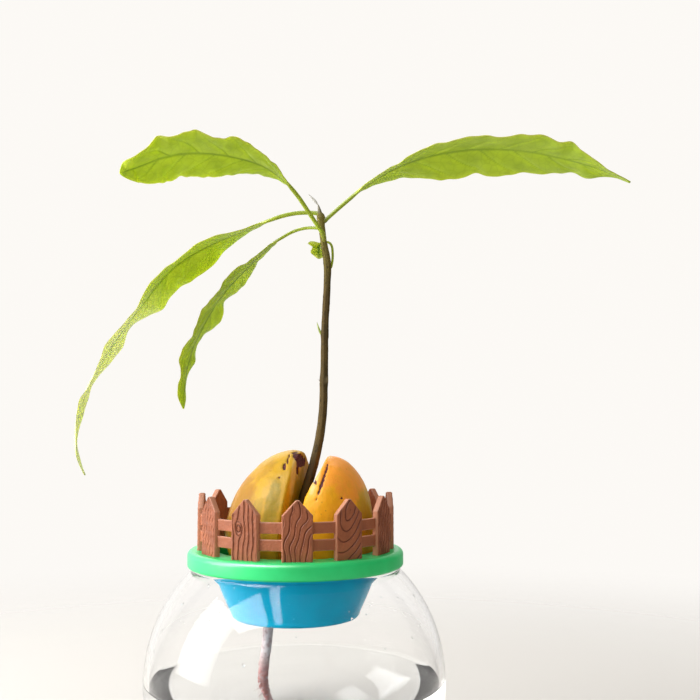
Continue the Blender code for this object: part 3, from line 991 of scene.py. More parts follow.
class Grain(Enum):
    """How the grooves run on a picket's face."""

    KNOT = "knot"
    SWEEP = "sweep"
    NEST = "nest"
    WAVES = "waves"

    def phase(self, x: np.ndarray, z: np.ndarray) -> np.ndarray:
        """A number over the face that is whole where a groove runs.

        Args:
            x: The places across the face.
            z: The places up it.

        Returns:
            The numbers.
        """
        if self is Grain.KNOT:
            aside, over = x - KNOT_AT[0], (z - KNOT_AT[1]) / KNOT_SIZE[1]
            near = np.maximum((aside / KNOT_SIZE[0]) ** 2 + over**2, 0.01)
            round_it = aside * (1 - 1 / near) / 1.9 + 0.12 * np.sin(z * 0.5)
            return np.where(near > 1, round_it, np.sqrt(near) * 2)
        if self is Grain.SWEEP:
            lean = (3.0 + 0.28 * x) * smooth(4.0, 17.0, z)
            return (x - lean + 0.35 * np.sin(0.6 * z + 0.5 * x) + 0.5) / 2.0
        if self is Grain.NEST:
            return np.hypot(x + 0.24 * (NEST_TOP - z) - 0.2, (z - NEST_TOP) / 1.9) / 2.0
        return (x + 0.6 * np.sin(0.55 * z + 0.6 * x) + 0.2 * np.sin(1.9 * z)) / 1.7

    def grooves(self, x: np.ndarray, z: np.ndarray, width: float) -> np.ndarray:
        """How deep in a groove each place is.

        Args:
            x: The places across the face.
            z: The places up it.
            width: Half a groove's width.

        Returns:
            A number from 0, clear of the grooves, to 1.
        """
        step = 0.05
        here = self.phase(x, z)
        slope = np.hypot(self.phase(x + step, z) - here, self.phase(x, z + step) - here) / step
        off = np.abs(here - np.round(here)) / np.maximum(slope, 0.15)
        return np.exp(-((off / width) ** 2))


@dataclass
class Fence:
    """Twelve carved pickets round the disc, joined by two rails."""

    turn: float = 1.5
    count: int = 12
    foot: float = 100.0
    width: float = 11.2
    thick: float = 2.5
    height: float = 21.8
    point: float = 5.4
    tip: float = 1.2
    face: float = 38.4
    edge: float = 0.55
    groove: float = 0.36
    groove_width: float = 0.19
    lip: float = 0.12
    back_share: float = 0.35
    seed_step: float = 0.37
    wobble: Pair = (4.0, 0.35)
    rail_inner: float = 35.9
    rail_outer: float = 37.4
    rail_height: float = 4.1
    rail_edge: float = 0.4
    rail_levels: dict[str, float] = field(default_factory=lambda: {"lower": 103.6, "upper": 109.8})
    fillet: float = 0.9
    columns: int = 58
    rows: int = 104
    grains: tuple[Grain, ...] = (
        Grain.SWEEP, Grain.NEST, Grain.WAVES, Grain.KNOT, Grain.SWEEP, Grain.WAVES,
        Grain.NEST, Grain.KNOT, Grain.SWEEP, Grain.NEST, Grain.WAVES, Grain.KNOT,
    )

    def half_width(self, z: np.ndarray) -> np.ndarray:
        """Half a picket's width at each height, straight up to its pointed head."""
        shoulder = self.height - self.point
        share = np.clip((z - shoulder) / self.point, 0, 1)
        return self.width / 2 + (self.tip / 2 - self.width / 2) * share

    def rounding(self, x: np.ndarray, z: np.ndarray) -> np.ndarray:
        """How far the face falls back at its edges."""
        slant = np.where(z > self.height - self.point, cos(np.arctan2(self.width / 2, self.point)), 1.0)
        inset = (self.half_width(z) - np.abs(x)) * slant
        inset = np.minimum(inset, self.height - z)
        share = np.clip(1 - inset / self.edge, 0, 1)
        return self.edge * (1 - np.sqrt(1 - share**2))

    def picket(self, grain: Grain, seed: float) -> Form:
        """A picket standing at the origin, its grooves fading out at its edges.

        Args:
            grain: How its grooves run.
            seed: A shift, so that no two are alike.

        Returns:
            The form, with the marks groove, which sets painted shade in the grooves, and edge, which sets a
            painted highlight on the rounded edges.
        """
        across = np.sin(np.linspace(-pi / 2, pi / 2, self.columns))
        across = 0.5 * across + 0.5 * np.linspace(-1, 1, self.columns)
        along = np.linspace(0, self.height, self.rows)

        def worked(x: np.ndarray, z: np.ndarray, depth: float) -> np.ndarray:
            """How far a face stands out, with its grooves and its rough skin."""
            rough = skin(x, z, seed * 9, seed, (1.4, 0.07), (0.5, 0.035))
            wobble = skin(x, z, seed * 9, seed + 3, self.wobble)
            cut = grain.grooves(x + wobble, z + seed * 0.3, self.groove_width)
            cut = cut * smooth(0.0, 1.0, self.half_width(z) - np.abs(x))
            beside = grain.grooves(x + wobble - 1.7 * self.groove_width, z + seed * 0.3, self.groove_width)
            raised = self.lip * beside * (1 - cut) * smooth(0.3, 1.3, self.half_width(z) - np.abs(x))
            return self.thick / 2 - self.rounding(x, z) - depth * cut + raised + rough

        form = Form.slab(
            across, along, self.half_width(along),
            lambda x, z: worked(x, z, self.groove), lambda x, z: worked(-x, z, self.groove * self.back_share),
        )
        x, z = form.points[:, 0], form.points[:, 2]
        wobble = skin(x, z, seed * 9, seed + 3, self.wobble)
        # The groove mark sets painted shade in the grooves on the front.
        cut = grain.grooves(x + wobble, z + seed * 0.3, self.groove_width * 1.1)
        cut *= smooth(0.0, 1.0, self.half_width(z) - np.abs(x)) * (form.points[:, 1] < 0)
        # edge sets a painted highlight along the rounded edges.
        return Form(form.points, form.faces, {"groove": cut, "edge": smooth(0.05, 0.35, self.rounding(x, z))})

    def rail(self, seed: float) -> Form:
        """A rail between two pickets, flared into them by small fillets, lying along X at the disc's middle.

        Args:
            seed: A shift, so that no two are alike.

        Returns:
            The form.
        """
        bay = pi / self.count
        half = (self.rail_outer * sin(bay) - self.width / 2) / cos(bay) + 0.25
        along = np.linspace(-half, half, 34)
        past = np.clip(1 - (half - np.abs(along)) / (self.fillet + 0.25), 0, 1)
        flare = self.fillet * (1 - np.sqrt(1 - past**2))
        high = self.rail_height / 2 + flare
        across = 0.5 * np.sin(np.linspace(-pi / 2, pi / 2, 24)) + 0.5 * np.linspace(-1, 1, 24)

        def worked(x: np.ndarray, z: np.ndarray) -> np.ndarray:
            """How far a face stands out, with its rough skin and round edges."""
            rough = skin(x, z, seed * 7, seed, (0.6, 0.09), (1.6, 0.05))
            inset = np.interp(z, along, high) - np.abs(x)
            share = np.clip(1 - inset / self.rail_edge, 0, 1)
            fall = self.rail_edge * (1 - np.sqrt(1 - share**2))
            return (self.rail_outer - self.rail_inner) / 2 - fall + rough

        form = Form.slab(across, along, high, worked, worked)
        inset = np.interp(form.points[:, 2], along, high) - np.abs(form.points[:, 0])
        # edge sets a painted highlight along the rail's rounded edges.
        form.marks["edge"] = smooth(self.rail_edge, 0.0, inset)
        return form.moved(Matrix.Rotation(pi / 2, 4, "Y"))

    def stand(self, number: float, ahead: float, height: float) -> Matrix:
        """Where a piece stands on the disc.

        Args:
            number: How many pickets round from the front it is.
            ahead: How far along +Y it lies before it is turned there.
            height: How high its origin is.

        Returns:
            The turn and the shift.
        """
        turn = radians(self.turn) + 2 * pi * number / self.count
        return Matrix.Rotation(turn, 4, "Z") @ Matrix.Translation((0, ahead, height))

    def dress(self) -> None:
        """Makes the pickets and the rails."""
        finish = Carved().material()
        ahead = self.thick / 2 - self.face
        for i, grain in enumerate(self.grains):
            form = self.picket(grain, i * self.seed_step).moved(self.stand(i, ahead, self.foot))
            name = f"picket_{i + 1:02d}"
            place(form.piece(f"carved_{name}"), finish, "fence_brown", name)
        ahead = -(self.rail_outer + self.rail_inner) / 2
        for level, height in self.rail_levels.items():
            for i in range(self.count):
                form = self.rail(i + height).moved(self.stand(i + 0.5, ahead, height + self.rail_height / 2))
                name = f"rail_{level}_{i + 1:02d}"
                place(form.piece(f"moulded_{name}"), finish, "fence_brown", name)


@dataclass(frozen=True)
class Blot:
    """A bruise, slit or stain on the seed as seen from the front: an oval that leans."""

    x: float
    z: float
    wide: float
    high: float
    lean: float = 0.0
    strength: float = 1.0

    def cover(self, points: np.ndarray, ragged: np.ndarray) -> np.ndarray:
        """How much of it covers each place.

        Args:
            points: The places.
            ragged: How ragged its edge is at each.

        Returns:
            A number from 0 to its strength.
        """
        lean = radians(self.lean)
        x, z = points[:, 0] - self.x, points[:, 2] - self.z
        across = (x * cos(lean) - z * sin(lean)) / self.wide
        along = (x * sin(lean) + z * cos(lean)) / self.high
        return self.strength * smooth(1.25, 0.75, np.hypot(across, along) + 0.35 * ragged)

    @staticmethod
    def cover_all(blots: "Sequence[Blot]", points: np.ndarray, ragged: np.ndarray) -> np.ndarray:
        """How much of any of several blots covers each place."""
        return np.max([blot.cover(points, ragged) for blot in blots], axis=0)


@dataclass(frozen=True)
class SeedHalf:
    """One half of the seed: a rounded body, cut by the split and by its own opened face, then softened."""

    name: str
    centre: Place
    reach: Pair
    rise: float
    fullness: float
    side: int
    opened_x: float
    opened_lean: float
    opened_turn: float
    finish: SeedSkin
    scars: tuple[Blot, ...]
    flushes: tuple[Blot, ...]
    olives: tuple[Blot, ...]
    creams: tuple[Blot, ...]
    foot: float = 76.2
    split_x: float = 2.5
    split_z: float = 117.0
    split_lean: float = 13.0
    gap: float = 0.3
    steps: int = 96
    voxel: float = 0.5
    scars_to: float = 14.0

    def body(self) -> bmesh.types.BMesh:
        """The half as a plain body, cut flat by its two planes."""
        bm = bmesh.new()
        bmesh.ops.create_uvsphere(bm, u_segments=self.steps, v_segments=self.steps // 2, radius=1.0)
        power = 2 / self.fullness
        for vertex in bm.verts:
            x, y, z = vertex.co
            ring = max(sqrt(x * x + y * y), 1e-6)
            spread = ring ** (power - 1)
            up = self.rise if z > 0 else self.centre[2] - self.foot
            lift = abs(z) ** power * (1 if z > 0 else -1)
            vertex.co = Vector((
                self.centre[0] + self.reach[0] * x * spread,
                self.centre[1] + self.reach[1] * y * spread,
                self.centre[2] + up * lift,
            ))
        self.slice_off(bm, self.split_x + self.side * self.gap, 0.0, self.split_lean)
        self.slice_off(bm, self.opened_x, self.opened_turn, self.opened_lean)
        return bm

    def slice_off(self, bm: bmesh.types.BMesh, x: float, turn: float, lean: float) -> None:
        """Cuts the body flat towards the other half, along a plane through x that turns and leans."""
        away = -self.side * Vector((1.0, -tan(radians(turn)), -tan(radians(lean)))).normalized()
        parts = bm.verts[:] + bm.edges[:] + bm.faces[:]
        cut = bmesh.ops.bisect_plane(
            bm, geom=parts, dist=1e-5, plane_co=(x, 0, self.split_z), plane_no=away, clear_outer=True
        )["geom_cut"]
        bmesh.ops.holes_fill(bm, edges=[part for part in cut if isinstance(part, bmesh.types.BMEdge)])

    def softened(self) -> bpy.types.Object:
        """The half remeshed evenly, its cut edges rounded by smoothing."""
        bm = self.body()
        bmesh.ops.recalc_face_normals(bm, faces=bm.faces)
        data = bpy.data.meshes.new("half")
        bm.to_mesh(data)
        bm.free()
        rough = shown("half", data)
        remesh = rough.modifiers.new("Even", "REMESH")
        remesh.mode = "VOXEL"
        remesh.voxel_size = self.voxel
        soften = rough.modifiers.new("Soft", "SMOOTH")
        soften.iterations = 8
        soften.factor = 0.6
        even = applied(rough)
        bpy.data.objects.remove(rough, do_unlink=True)
        return shown(f"{self.name}_skin", even)

    def dress(self) -> None:
        """Gives the half its ridges, dents and marks, and puts it in its solid's place."""
        made = self.softened()
        data = made.data
        count = len(data.vertices)
        points, normals = np.empty(count * 3), np.empty(count * 3)
        data.vertices.foreach_get("co", points)
        data.vertices.foreach_get("normal", normals)
        points, normals = points.reshape(-1, 3), normals.reshape(-1, 3)
        ragged = lumps(points, 1.6, 2.0)
        marks = {
            "scar": Blot.cover_all(self.scars, points, ragged) * (points[:, 1] < self.scars_to),
            "flush": Blot.cover_all(self.flushes, points, 0.5 * ragged),
            "olive": Blot.cover_all(self.olives, points, 0.5 * ragged),
            "cream": Blot.cover_all(self.creams, points, ragged) * (points[:, 1] < 0),
        }
        ridges = lumps(points * (1, 1, 0.35), 8.0, 1.0)
        relief = 0.45 * ridges + 0.10 * lumps(points, 2.5, 4.0) - 0.35 * marks["scar"]
        points = (points + normals * relief[:, None]) * MM
        data.vertices.foreach_set("co", points.astype(np.float32).ravel())
        carry(data, marks)
        data.shade_smooth()
        place(made, self.finish.material(), self.name.replace("half", "skin"), self.name)


SEED_HALVES = (
    SeedHalf(
        name="seed_half_left", centre=(-1.6, 2.0, 106.0), reach=(26.8, 24.0), rise=32.6, fullness=1.72,
        side=-1, opened_x=0.8, opened_lean=4.3, opened_turn=16.0,
        finish=SeedSkin("seed_skin_ochre", (0.60, 0.34, 0.014), (0.40, 0.19, 0.025), (0.33, 0.235, 0.008)),
        scars=(
            Blot(1.3, 135.4, 3.4, 1.5, 45), Blot(2.0, 133.9, 2.0, 2.0), Blot(0.6, 130.7, 0.45, 2.0, 0, 0.8),
            Blot(-4.5, 132.5, 0.7, 1.1, 10), Blot(-3.2, 134.7, 0.35, 1.1), Blot(-2.6, 136.3, 0.3, 0.7),
            Blot(-6.5, 128.6, 0.4, 0.3), Blot(-9.8, 131.0, 0.3, 0.25, 0, 0.5),
        ),
        flushes=(Blot(-24.0, 118.0, 7.0, 14.0, 20), Blot(-14.0, 131.0, 7.0, 3.0, -35, 0.5)),
        olives=(
            Blot(2.4, 120.0, 4.6, 12.0, 12), Blot(-9.0, 118.0, 2.6, 11.0, 12, 0.75),
            Blot(-15.0, 116.0, 2.0, 6.0, 25, 0.4),
        ),
        creams=(Blot(-1.2, 128.5, 0.8, 8.5, 6, 0.7),),
    ),
    SeedHalf(
        name="seed_half_right", centre=(12.0, -1.0, 106.0), reach=(18.6, 25.0), rise=30.4, fullness=2.25,
        side=1, opened_x=3.4, opened_lean=26.5, opened_turn=5.0,
        finish=SeedSkin("seed_skin_orange", (0.92, 0.42, 0.008), (0.95, 0.34, 0.030), (0.62, 0.35, 0.010)),
        scars=(
            Blot(10.3, 127.6, 0.52, 6.6, 19), Blot(7.6, 126.9, 0.6, 1.1, -25), Blot(17.5, 121.3, 0.45, 0.4),
            Blot(12.9, 136.0, 2.4, 0.3, 80, 0.3),
        ),
        flushes=(Blot(15.0, 132.0, 11.0, 6.5), Blot(21.0, 126.0, 6.0, 7.0, -20)),
        olives=(Blot(28.5, 116.0, 5.0, 8.0, -15), Blot(19.0, 114.0, 5.0, 5.0, 0, 0.35)),
        creams=(Blot(7.7, 128.0, 0.9, 5.4, 20, 0.9),),
    ),
)


@dataclass
class Axis:
    """The stem, the root, the bud and the small scales along the plant's axis."""

    stem_line: tuple[Knot, ...] = (
        (-2.4, 0.0, 97.5, 2.0), (3.3, 0.0, 120.5, 1.95), (7.5, 0.0, 135.0, 1.85), (10.2, 0.0, 150.0, 1.7),
        (11.0, 0.0, 168.0, 1.55), (11.3, 0.0, 188.0, 1.45), (12.2, 0.0, 206.0, 1.4), (12.2, 0.0, 214.0, 1.55),
        (10.7, 0.0, 223.0, 1.3), (10.0, 0.0, 229.0, 1.3), (9.75, 0.0, 231.0, 1.5), (9.65, 0.0, 232.6, 1.75),
        (9.4, 0.0, 233.8, 1.5), (9.2, 0.0, 234.6, 0.9),
    )
    root_line: tuple[Knot, ...] = (
        (-2.6, 0.0, 97.0, 2.0), (-7.2, 0.0, 86.0, 2.1), (-10.2, 0.0, 76.0, 2.1), (-11.2, 0.0, 64.0, 2.0),
        (-12.6, 0.0, 52.0, 2.0), (-12.4, 1.0, 40.0, 1.9), (-10.6, 2.0, 28.0, 1.5), (-7.8, 2.0, 17.0, 0.9),
        (-5.4, 1.0, 10.5, 0.3),
    )
    bud_line: tuple[Knot, ...] = (
        (9.3, 0.0, 234.1, 0.95), (9.0, 0.0, 235.6, 0.75), (8.75, 0.0, 236.8, 0.5), (8.5, 0.0, 238.0, 0.2),
    )
    wisp_line: tuple[Knot, ...] = (
        (8.5, 0.0, 237.8, 0.15), (7.9, -0.1, 238.6, 0.45), (7.0, -0.2, 239.7, 0.55), (5.8, -0.3, 240.9, 0.4),
        (4.5, -0.4, 242.3, 0.08),
    )
    bract_line: tuple[Knot, ...] = (
        (10.3, -0.2, 184.6, 0.6), (9.4, -0.3, 186.0, 0.5), (8.8, -0.5, 187.4, 0.4), (8.1, -0.6, 189.8, 0.1),
    )
    spur_line: tuple[Knot, ...] = (
        (10.4, -0.3, 164.9, 0.5), (9.5, -0.4, 165.6, 0.35), (8.6, -0.5, 167.0, 0.08),
    )
    stem_steps: int = 48
    stem_sides: int = 48
    root_steps: int = 40
    root_sides: int = 44
    scale_steps: int = 10
    scale_sides: int = 20
    stub_count: int = 16
    stub_points: int = 12
    flecks: int = 170
    scar_level: float = 166.5
    bract_level: float = 185.0
    young_from: float = 196.0
    young_to: float = 232.0
    seed: int = 11

    def stem(self) -> Form:
        """The stem, faintly ribbed, with flecks, a leaf scar and a swelling at the node."""
        line, radii = smooth_line(self.stem_line, self.stem_steps)
        form = Form.limb(line, radii, self.stem_sides)
        points, turns = form.points, form.marks["round"]
        out = points - Form.middles(line, self.stem_sides)
        reach = np.maximum(np.linalg.norm(out, axis=1), 1e-6)[:, None]
        fleck = np.zeros(len(points))
        draw = random.Random(self.seed)
        for _ in range(self.flecks):
            height, turn = draw.uniform(118, 228), draw.uniform(0, 2 * pi)
            size = draw.uniform(0.16, 0.42)
            aside = (turns - turn + pi) % (2 * pi) - pi
            off = np.hypot(aside * 1.5 / size, (points[:, 2] - height) / (size * 1.8))
            fleck = np.maximum(fleck, smooth(1.2, 0.6, off) * draw.uniform(0.4, 1.0))
        facing = smooth(2.2, 0.6, np.abs((turns - 1.1 * pi + pi) % (2 * pi) - pi))
        scar = smooth(1.9, 0.4, np.abs(points[:, 2] - self.scar_level - 0.3 * np.sin(turns * 3))) * facing
        ribs = 0.05 * np.sin(turns * 7 + points[:, 2] * 0.06) + 0.07 * lumps(points * (1, 1, 0.3), 1.1)
        knuckle = 0.22 * np.exp(-(((points[:, 2] - self.scar_level) / 2.2) ** 2))
        knuckle += 0.16 * np.exp(-(((points[:, 2] - self.bract_level) / 1.8) ** 2))
        relief = (ribs + 0.06 * fleck + knuckle) * (reach[:, 0] > 0.01)
        form.points = points + out / reach * relief[:, None]
        young = smooth(self.young_from, self.young_to, points[:, 2])
        form.marks = {"fleck": fleck * (1 - 0.5 * young), "scar": scar * 0.8, "young": young}
        return form

    def root(self) -> Form:
        """The root, rough and pitted, most of all below the water; its short side stubs are made by stubs."""
        line, radii = smooth_line(self.root_line, self.root_steps)
        form = Form.limb(line, radii, self.root_sides)
        out = form.points - Form.middles(line, self.root_sides)
        reach = np.maximum(np.linalg.norm(out, axis=1), 1e-6)
        wet = smooth(62.0, 50.0, form.points[:, 2])
        relief = (0.12 + 0.30 * wet) * lumps(form.points, 1.6) + 0.10 * lumps(form.points, 0.6, 3.0)
        relief *= (reach > 0.01) * np.minimum(reach, 1)
        form.points = form.points + out / reach[:, None] * relief[:, None]
        form.marks = {"young": wet, "fleck": smooth(0.1, 0.5, lumps(form.points, 1.2, 9.0))}
        return form

    def stubs(self) -> Form:
        """Short side roots on the lower root."""
        draw = random.Random(self.seed)
        line, radii = smooth_line(self.root_line, self.root_steps)
        shares = np.linspace(0, 1, self.stub_points)[:, None]
        forms = []
        for _ in range(self.stub_count):
            at = draw.randrange(int(len(line) * 0.55), len(line) - 8)
            turn, length = draw.uniform(0, 2 * pi), draw.uniform(1.0, 3.4)
            way = np.array([cos(turn), sin(turn), -0.5])
            bend = np.array([0.0, 0.0, -0.8]) * shares**2 * length
            path = line[at] + way * (radii[at] * 0.6 + shares * length) + bend
            forms.append(Form.limb(path, np.linspace(0.42, 0.08, self.stub_points), 12))
        return Form.together(forms)

    def scale(self, knots: Sequence[Knot], flat: float = 1.0) -> Form:
        """A small tapering scale or bud along its knots, flattened from front to back."""
        line, radii = smooth_line(knots, self.scale_steps)
        form = Form.limb(line, radii, self.scale_sides)
        middle = Form.middles(line, self.scale_sides)[:, 1]
        form.points[:, 1] = middle + (form.points[:, 1] - middle) * flat
        return form

    def dress(self) -> None:
        """Makes each piece of the axis."""
        bark = Bark("stem_bark", (0.115, 0.073, 0.018), (0.04, 0.027, 0.009), (0.2, 0.165, 0.03)).material()
        peel = Bark("root_skin", (0.75, 0.69, 0.70), (0.45, 0.33, 0.33), (0.42, 0.19, 0.18)).material()
        bud = Husk("bud_scale", (0.15, 0.13, 0.040), (0.26, 0.23, 0.16)).material()
        bract = Husk("bract_skin", (0.30, 0.38, 0.060), (0.46, 0.56, 0.15)).material()
        wisp = Husk("dry_wisp", (0.58, 0.56, 0.52), (0.80, 0.78, 0.76), 0.7).material()
        place(self.stem().piece("bark_of_stem"), bark, "stem_bark", "stem")
        place(self.root().piece("skin_of_root"), peel, "root_skin", "root")
        place(self.stubs().piece("side_roots"), peel, "root_skin")
        place(self.scale(self.bud_line).piece("bud_scales"), bud, "bud_green", "terminal_bud")
        place(self.scale(self.wisp_line, 0.35).piece("dry_wisp"), wisp, "dry_tip", "withered_tip")
        place(self.scale(self.bract_line, 0.6).piece("bract_scale"), bract, "bud_green", "bract")
        place(self.scale(self.spur_line, 0.7).piece("spur_scale"), wisp, "dry_tip")


@dataclass(frozen=True)
class Leaf:
    """A petiole and blade grown from its root point by the rule that its solid follows, with finer margins.

    springs is the place inside the stem that its petiole springs from. slopes are the midrib's headings above
    the level at even steps from the stem to the tip, and bearings are its turns to the back. above and below
    are the two margins' lobes: shares of the blade and distances from the midrib as seen from the viewpoint,
    from a wing before the blade's start to its tip. The rest of the half width lies towards the viewer and
    away.
    """

    name: str
    springs: Place
    root: Place
    side: int
    length: float
    blade_from: float
    slopes: tuple[float, ...]
    bearings: tuple[float, ...]
    half_width: float
    widest: float
    above: tuple[Pair, ...]
    below: tuple[Pair, ...]
    petiole: float
    veins: int = 8
    sweep: float = 0.13
    wave: float = 0.7
    ruffle: float = 0.16
    pale_from: float = 2.0
    pale_to: float = 3.0
    viewpoint: Place = (5.4, -384.0, 151.7)
    spine_steps: int = 320
    pitch: float = 0.45
    ring: int = 84
    fullness: float = 0.7
    wing: float = 0.06
    spreads_over: float = 0.10
    eases_over: float = 0.14
    thick: float = 0.26
    joint_rows: int = 9
    joint_flare: float = 0.25

    def spine(self) -> list[Vector]:
        """The midrib's points from the stem to the tip."""
        points = [Vector(self.root)]
        step = self.length / self.spine_steps
        for i in range(self.spine_steps):
            share = (i + 0.5) / self.spine_steps
            slope, bearing = radians(between(self.slopes, share)), radians(between(self.bearings, share))
            run = cos(slope) * step
            ahead = Vector((self.side * run * cos(bearing), run * sin(bearing), sin(slope) * step))
            points.append(points[-1] + ahead)
        return points

    def reach(self, over: float) -> float:
        """Half the blade's real width at a share of its length."""
        on = (over + self.wing) / (1 + self.wing)
        bent = max(on, 0.0) ** (log(0.5) / log(self.widest))
        full = self.half_width * max(sin(pi * bent), 0.0) ** self.fullness
        return full * min(max(on, 0.0) / self.eases_over, 1.0) ** 0.5

    def margin(self, lobes: tuple[Pair, ...], over: float, reach: float) -> float:
        """How far a margin stands off the midrib, as seen from the viewpoint.

        Args:
            lobes: The margin's lobes and the notches between them.
            over: The share of the blade.
            reach: Half the blade's real width there.

        Returns:
            The distance, held within the reach and faintly ruffled.
        """
        waves = sin(67 * over + lobes[1][1]) + 0.6 * sin(109 * over)
        ruffle = self.ruffle * waves * min(1.0, 5 * (1 - over))
        return max(-reach, min(eased(lobes, over) + ruffle, reach))

    def vein(self, over: float, aside: np.ndarray, reach: float) -> tuple[np.ndarray, np.ndarray]:
        """How near a vein each place across the blade is.

        Args:
            over: The share of the blade.
            aside: The places across it, from -1 to 1.
            reach: Half the blade's width there.

        Returns:
            A number from 0 to 1 for the vein itself, and one for the trough round it, which shapes the
            quilting and sets painted shade there.
        """
        long = self.length * (1 - self.blade_from)
        out = np.abs(aside)
        ends = float(smooth(1.02, 0.9, np.array(over)))
        found = np.exp(-((out * reach / (0.62 - 0.35 * over)) ** 2)) * ends
        trough = np.exp(-((out * reach / 2.2) ** 2))
        for i in range(self.veins):
            for hand in (-1, 1):
                start = (i + 0.45 + 0.22 * hand) / (self.veins + 0.6) * 0.93
                path = start + self.sweep * (out**0.9 * 0.75 + 0.35 * out**2.4)
                off = np.abs(over - path) * long * 0.75
                here = (aside * hand > 0) * (1 - 0.6 * out**2)
                found = np.maximum(found, 0.8 * here * np.exp(-((off / (0.36 - 0.14 * out)) ** 2)))
                trough = np.maximum(trough, here * np.exp(-((off / 1.5) ** 2)))
        return found, trough

    def stand(self, spine: list[Vector], share: float) -> tuple[Vector, Vector, Vector, Vector]:
        """The place on the midrib at a share of the leaf, the way on, and the ways up and back as seen."""
        at = share * self.spine_steps
        low = min(int(at), self.spine_steps - 1)
        span = self.spine_steps // 80
        centre = spine[low].lerp(spine[low + 1], at - low)
        ahead, behind = spine[min(low + 1 + span, self.spine_steps)], spine[max(low - span, 0)]
        along = (ahead - behind).normalized()
        sight = (centre - Vector(self.viewpoint)).normalized()
        up = along.cross(sight).normalized() * self.side
        return centre, along, up, (sight - along * sight.dot(along)).normalized()

    def cut(self, spine: list[Vector], share: float) -> tuple[Vector, Vector, Vector, Vector, Vector]:
        """The midrib's place, the margins near and far, and the ways across and out of the blade's face."""
        centre, along, up, back = self.stand(spine, share)
        over = max((share - self.blade_from) / (1 - self.blade_from), 0.03 - self.wing)
        reach = self.reach(over)
        above = self.margin(self.above, over, reach)
        below = self.margin(self.below, over, reach)
        near = up * above - back * sqrt(max(reach * reach - above * above, 0.0))
        far = back * sqrt(max(reach * reach - below * below, 0.0)) - up * below
        across = (far - near + back * 1e-5).normalized()
        return centre, near, far, across, across.cross(along) * self.side

    def joint(self, spine: list[Vector], share: float) -> tuple[np.ndarray, dict[str, np.ndarray]]:
        """The ring of points at a share of the way from inside the stem to the petiole's start."""
        start, end = Vector(self.springs), spine[0]
        bend = end - (spine[1] - spine[0]).normalized() * (end - start).length * 0.5
        centre = start.lerp(bend, share).lerp(bend.lerp(end, share), share)
        along = (bend.lerp(end, share) - start.lerp(bend, share)).normalized()
        _, _, _, across, face = self.cut(spine, 0.0)
        radius = self.petiole * (1 + self.joint_flare * sin(pi * share) - 0.4 * (1 - share) ** 2)
        ways = [np.array((way - along * way.dot(along)).normalized()) * radius for way in (across, face)]
        turns = (pi * (2 * np.arange(self.ring) + 1) / self.ring)[:, None]
        return np.array(centre) + np.cos(turns) * ways[0] + np.sin(turns) * ways[1], {
            "stalk": np.ones(self.ring), "joint": np.full(self.ring, (1 - share) ** 0.7)
        }

    def row(self, spine: list[Vector], share: float) -> tuple[np.ndarray, dict[str, np.ndarray]]:
        """The ring of points round the leaf at a share of the way from the stem to the tip.

        Args:
            spine: The midrib's points.
            share: The share of the leaf's length.

        Returns:
            The points and their marks.
        """
        centre, near, far, across, face = self.cut(spine, share)
        over = max((share - self.blade_from) / (1 - self.blade_from), -self.wing)
        reach = self.reach(over)
        spread = float(smooth(-self.wing, self.spreads_over - self.wing, np.array(over)))
        turns = pi * (2 * np.arange(self.ring) + 1) / self.ring
        half = self.ring // 2
        flat = 1 - 2 * (np.arange(half) + 0.5) / half
        aside = np.concatenate([flat, flat[::-1]])
        upper = np.sign(np.sin(turns))
        vein, trough = self.vein(over, aside, max(reach, 0.01))
        vein, trough = vein * spread, trough * spread
        out = np.abs(aside)
        plate = np.where(aside > 0, aside, 0)[:, None] * np.array(far)
        plate += np.where(aside < 0, -aside, 0)[:, None] * np.array(near)
        rim = np.sqrt(np.maximum(1 - out**6, 0.0))
        keel = 0.55 * np.exp(-((out * reach / 0.9) ** 2)) * (1 - 0.75 * max(over, 0.0))
        under = self.thick * rim + keel + 0.14 * vein * rim
        top = self.thick * rim - 0.10 * vein * rim
        lift_blade = np.where(upper > 0, top, -under)
        sway = self.wave * out**1.6 * np.sin(pi * self.veins * over + 1.1 * np.sign(aside))
        quilt = 0.45 * (1 - trough) * np.sin(pi * out) ** 0.7
        sway = (sway + quilt) * min(1.0, 5 * max(over, 0.0), 7 * (1 - over)) * min(reach / 4, 1.0)
        radius = self.petiole
        lift = np.sin(turns) * radius * (1 - spread) + (lift_blade + sway) * spread
        wide = np.cos(turns) * radius * (1 - spread)
        points = np.array(centre) + plate * spread
        points = points + np.array(across) * wide[:, None] + np.array(face) * lift[:, None]
        stalk = 1 - spread + 0.8 * np.exp(-((out * reach / 0.8) ** 2)) * max(1 - over * 4, 0.0)
        marks = {
            "vein": vein,
            # hollow sets painted shade in the troughs along the veins
            "hollow": trough,
            "upper": (upper > 0) * spread,
            "stalk": stalk,
            "joint": np.zeros(self.ring),
            "edge": smooth(0.90, 1.0, out) * spread * (aside < 0),
            "tail": np.full(self.ring, float(smooth(self.pale_from, self.pale_to, np.array(share)))),
        }
        return points, marks

    def form(self) -> Form:
        """The leaf as a closed form."""
        spine = self.spine()
        start = self.blade_from - self.wing * (1 - self.blade_from)
        stalk = np.linspace(0, start, int(start * self.length / 1.2) + 2)[:-1]
        blade = np.linspace(start, 1, int((1 - start) * self.length / self.pitch))
        rows = [self.joint(spine, i / self.joint_rows) for i in range(self.joint_rows)]
        rows += [self.row(spine, float(share)) for share in np.concatenate([stalk, blade])]
        points = np.concatenate([row[0] for row in rows])
        none = np.zeros(self.ring)
        marks = {name: np.concatenate([row[1].get(name, none) for row in rows]) for name in rows[-1][1]}
        faces = Form.sheet_faces(len(rows), self.ring, True)
        faces += [tuple(range(self.ring)), tuple(len(points) - self.ring + i for i in range(self.ring))]
        return Form(points, faces, marks)

    def dress(self, finish: bpy.types.Material) -> None:
        """Makes the leaf in its solid's place."""
        place(self.form().piece(f"blade_of_{self.name}", sharp=75.0), finish, "leaf_green", self.name)


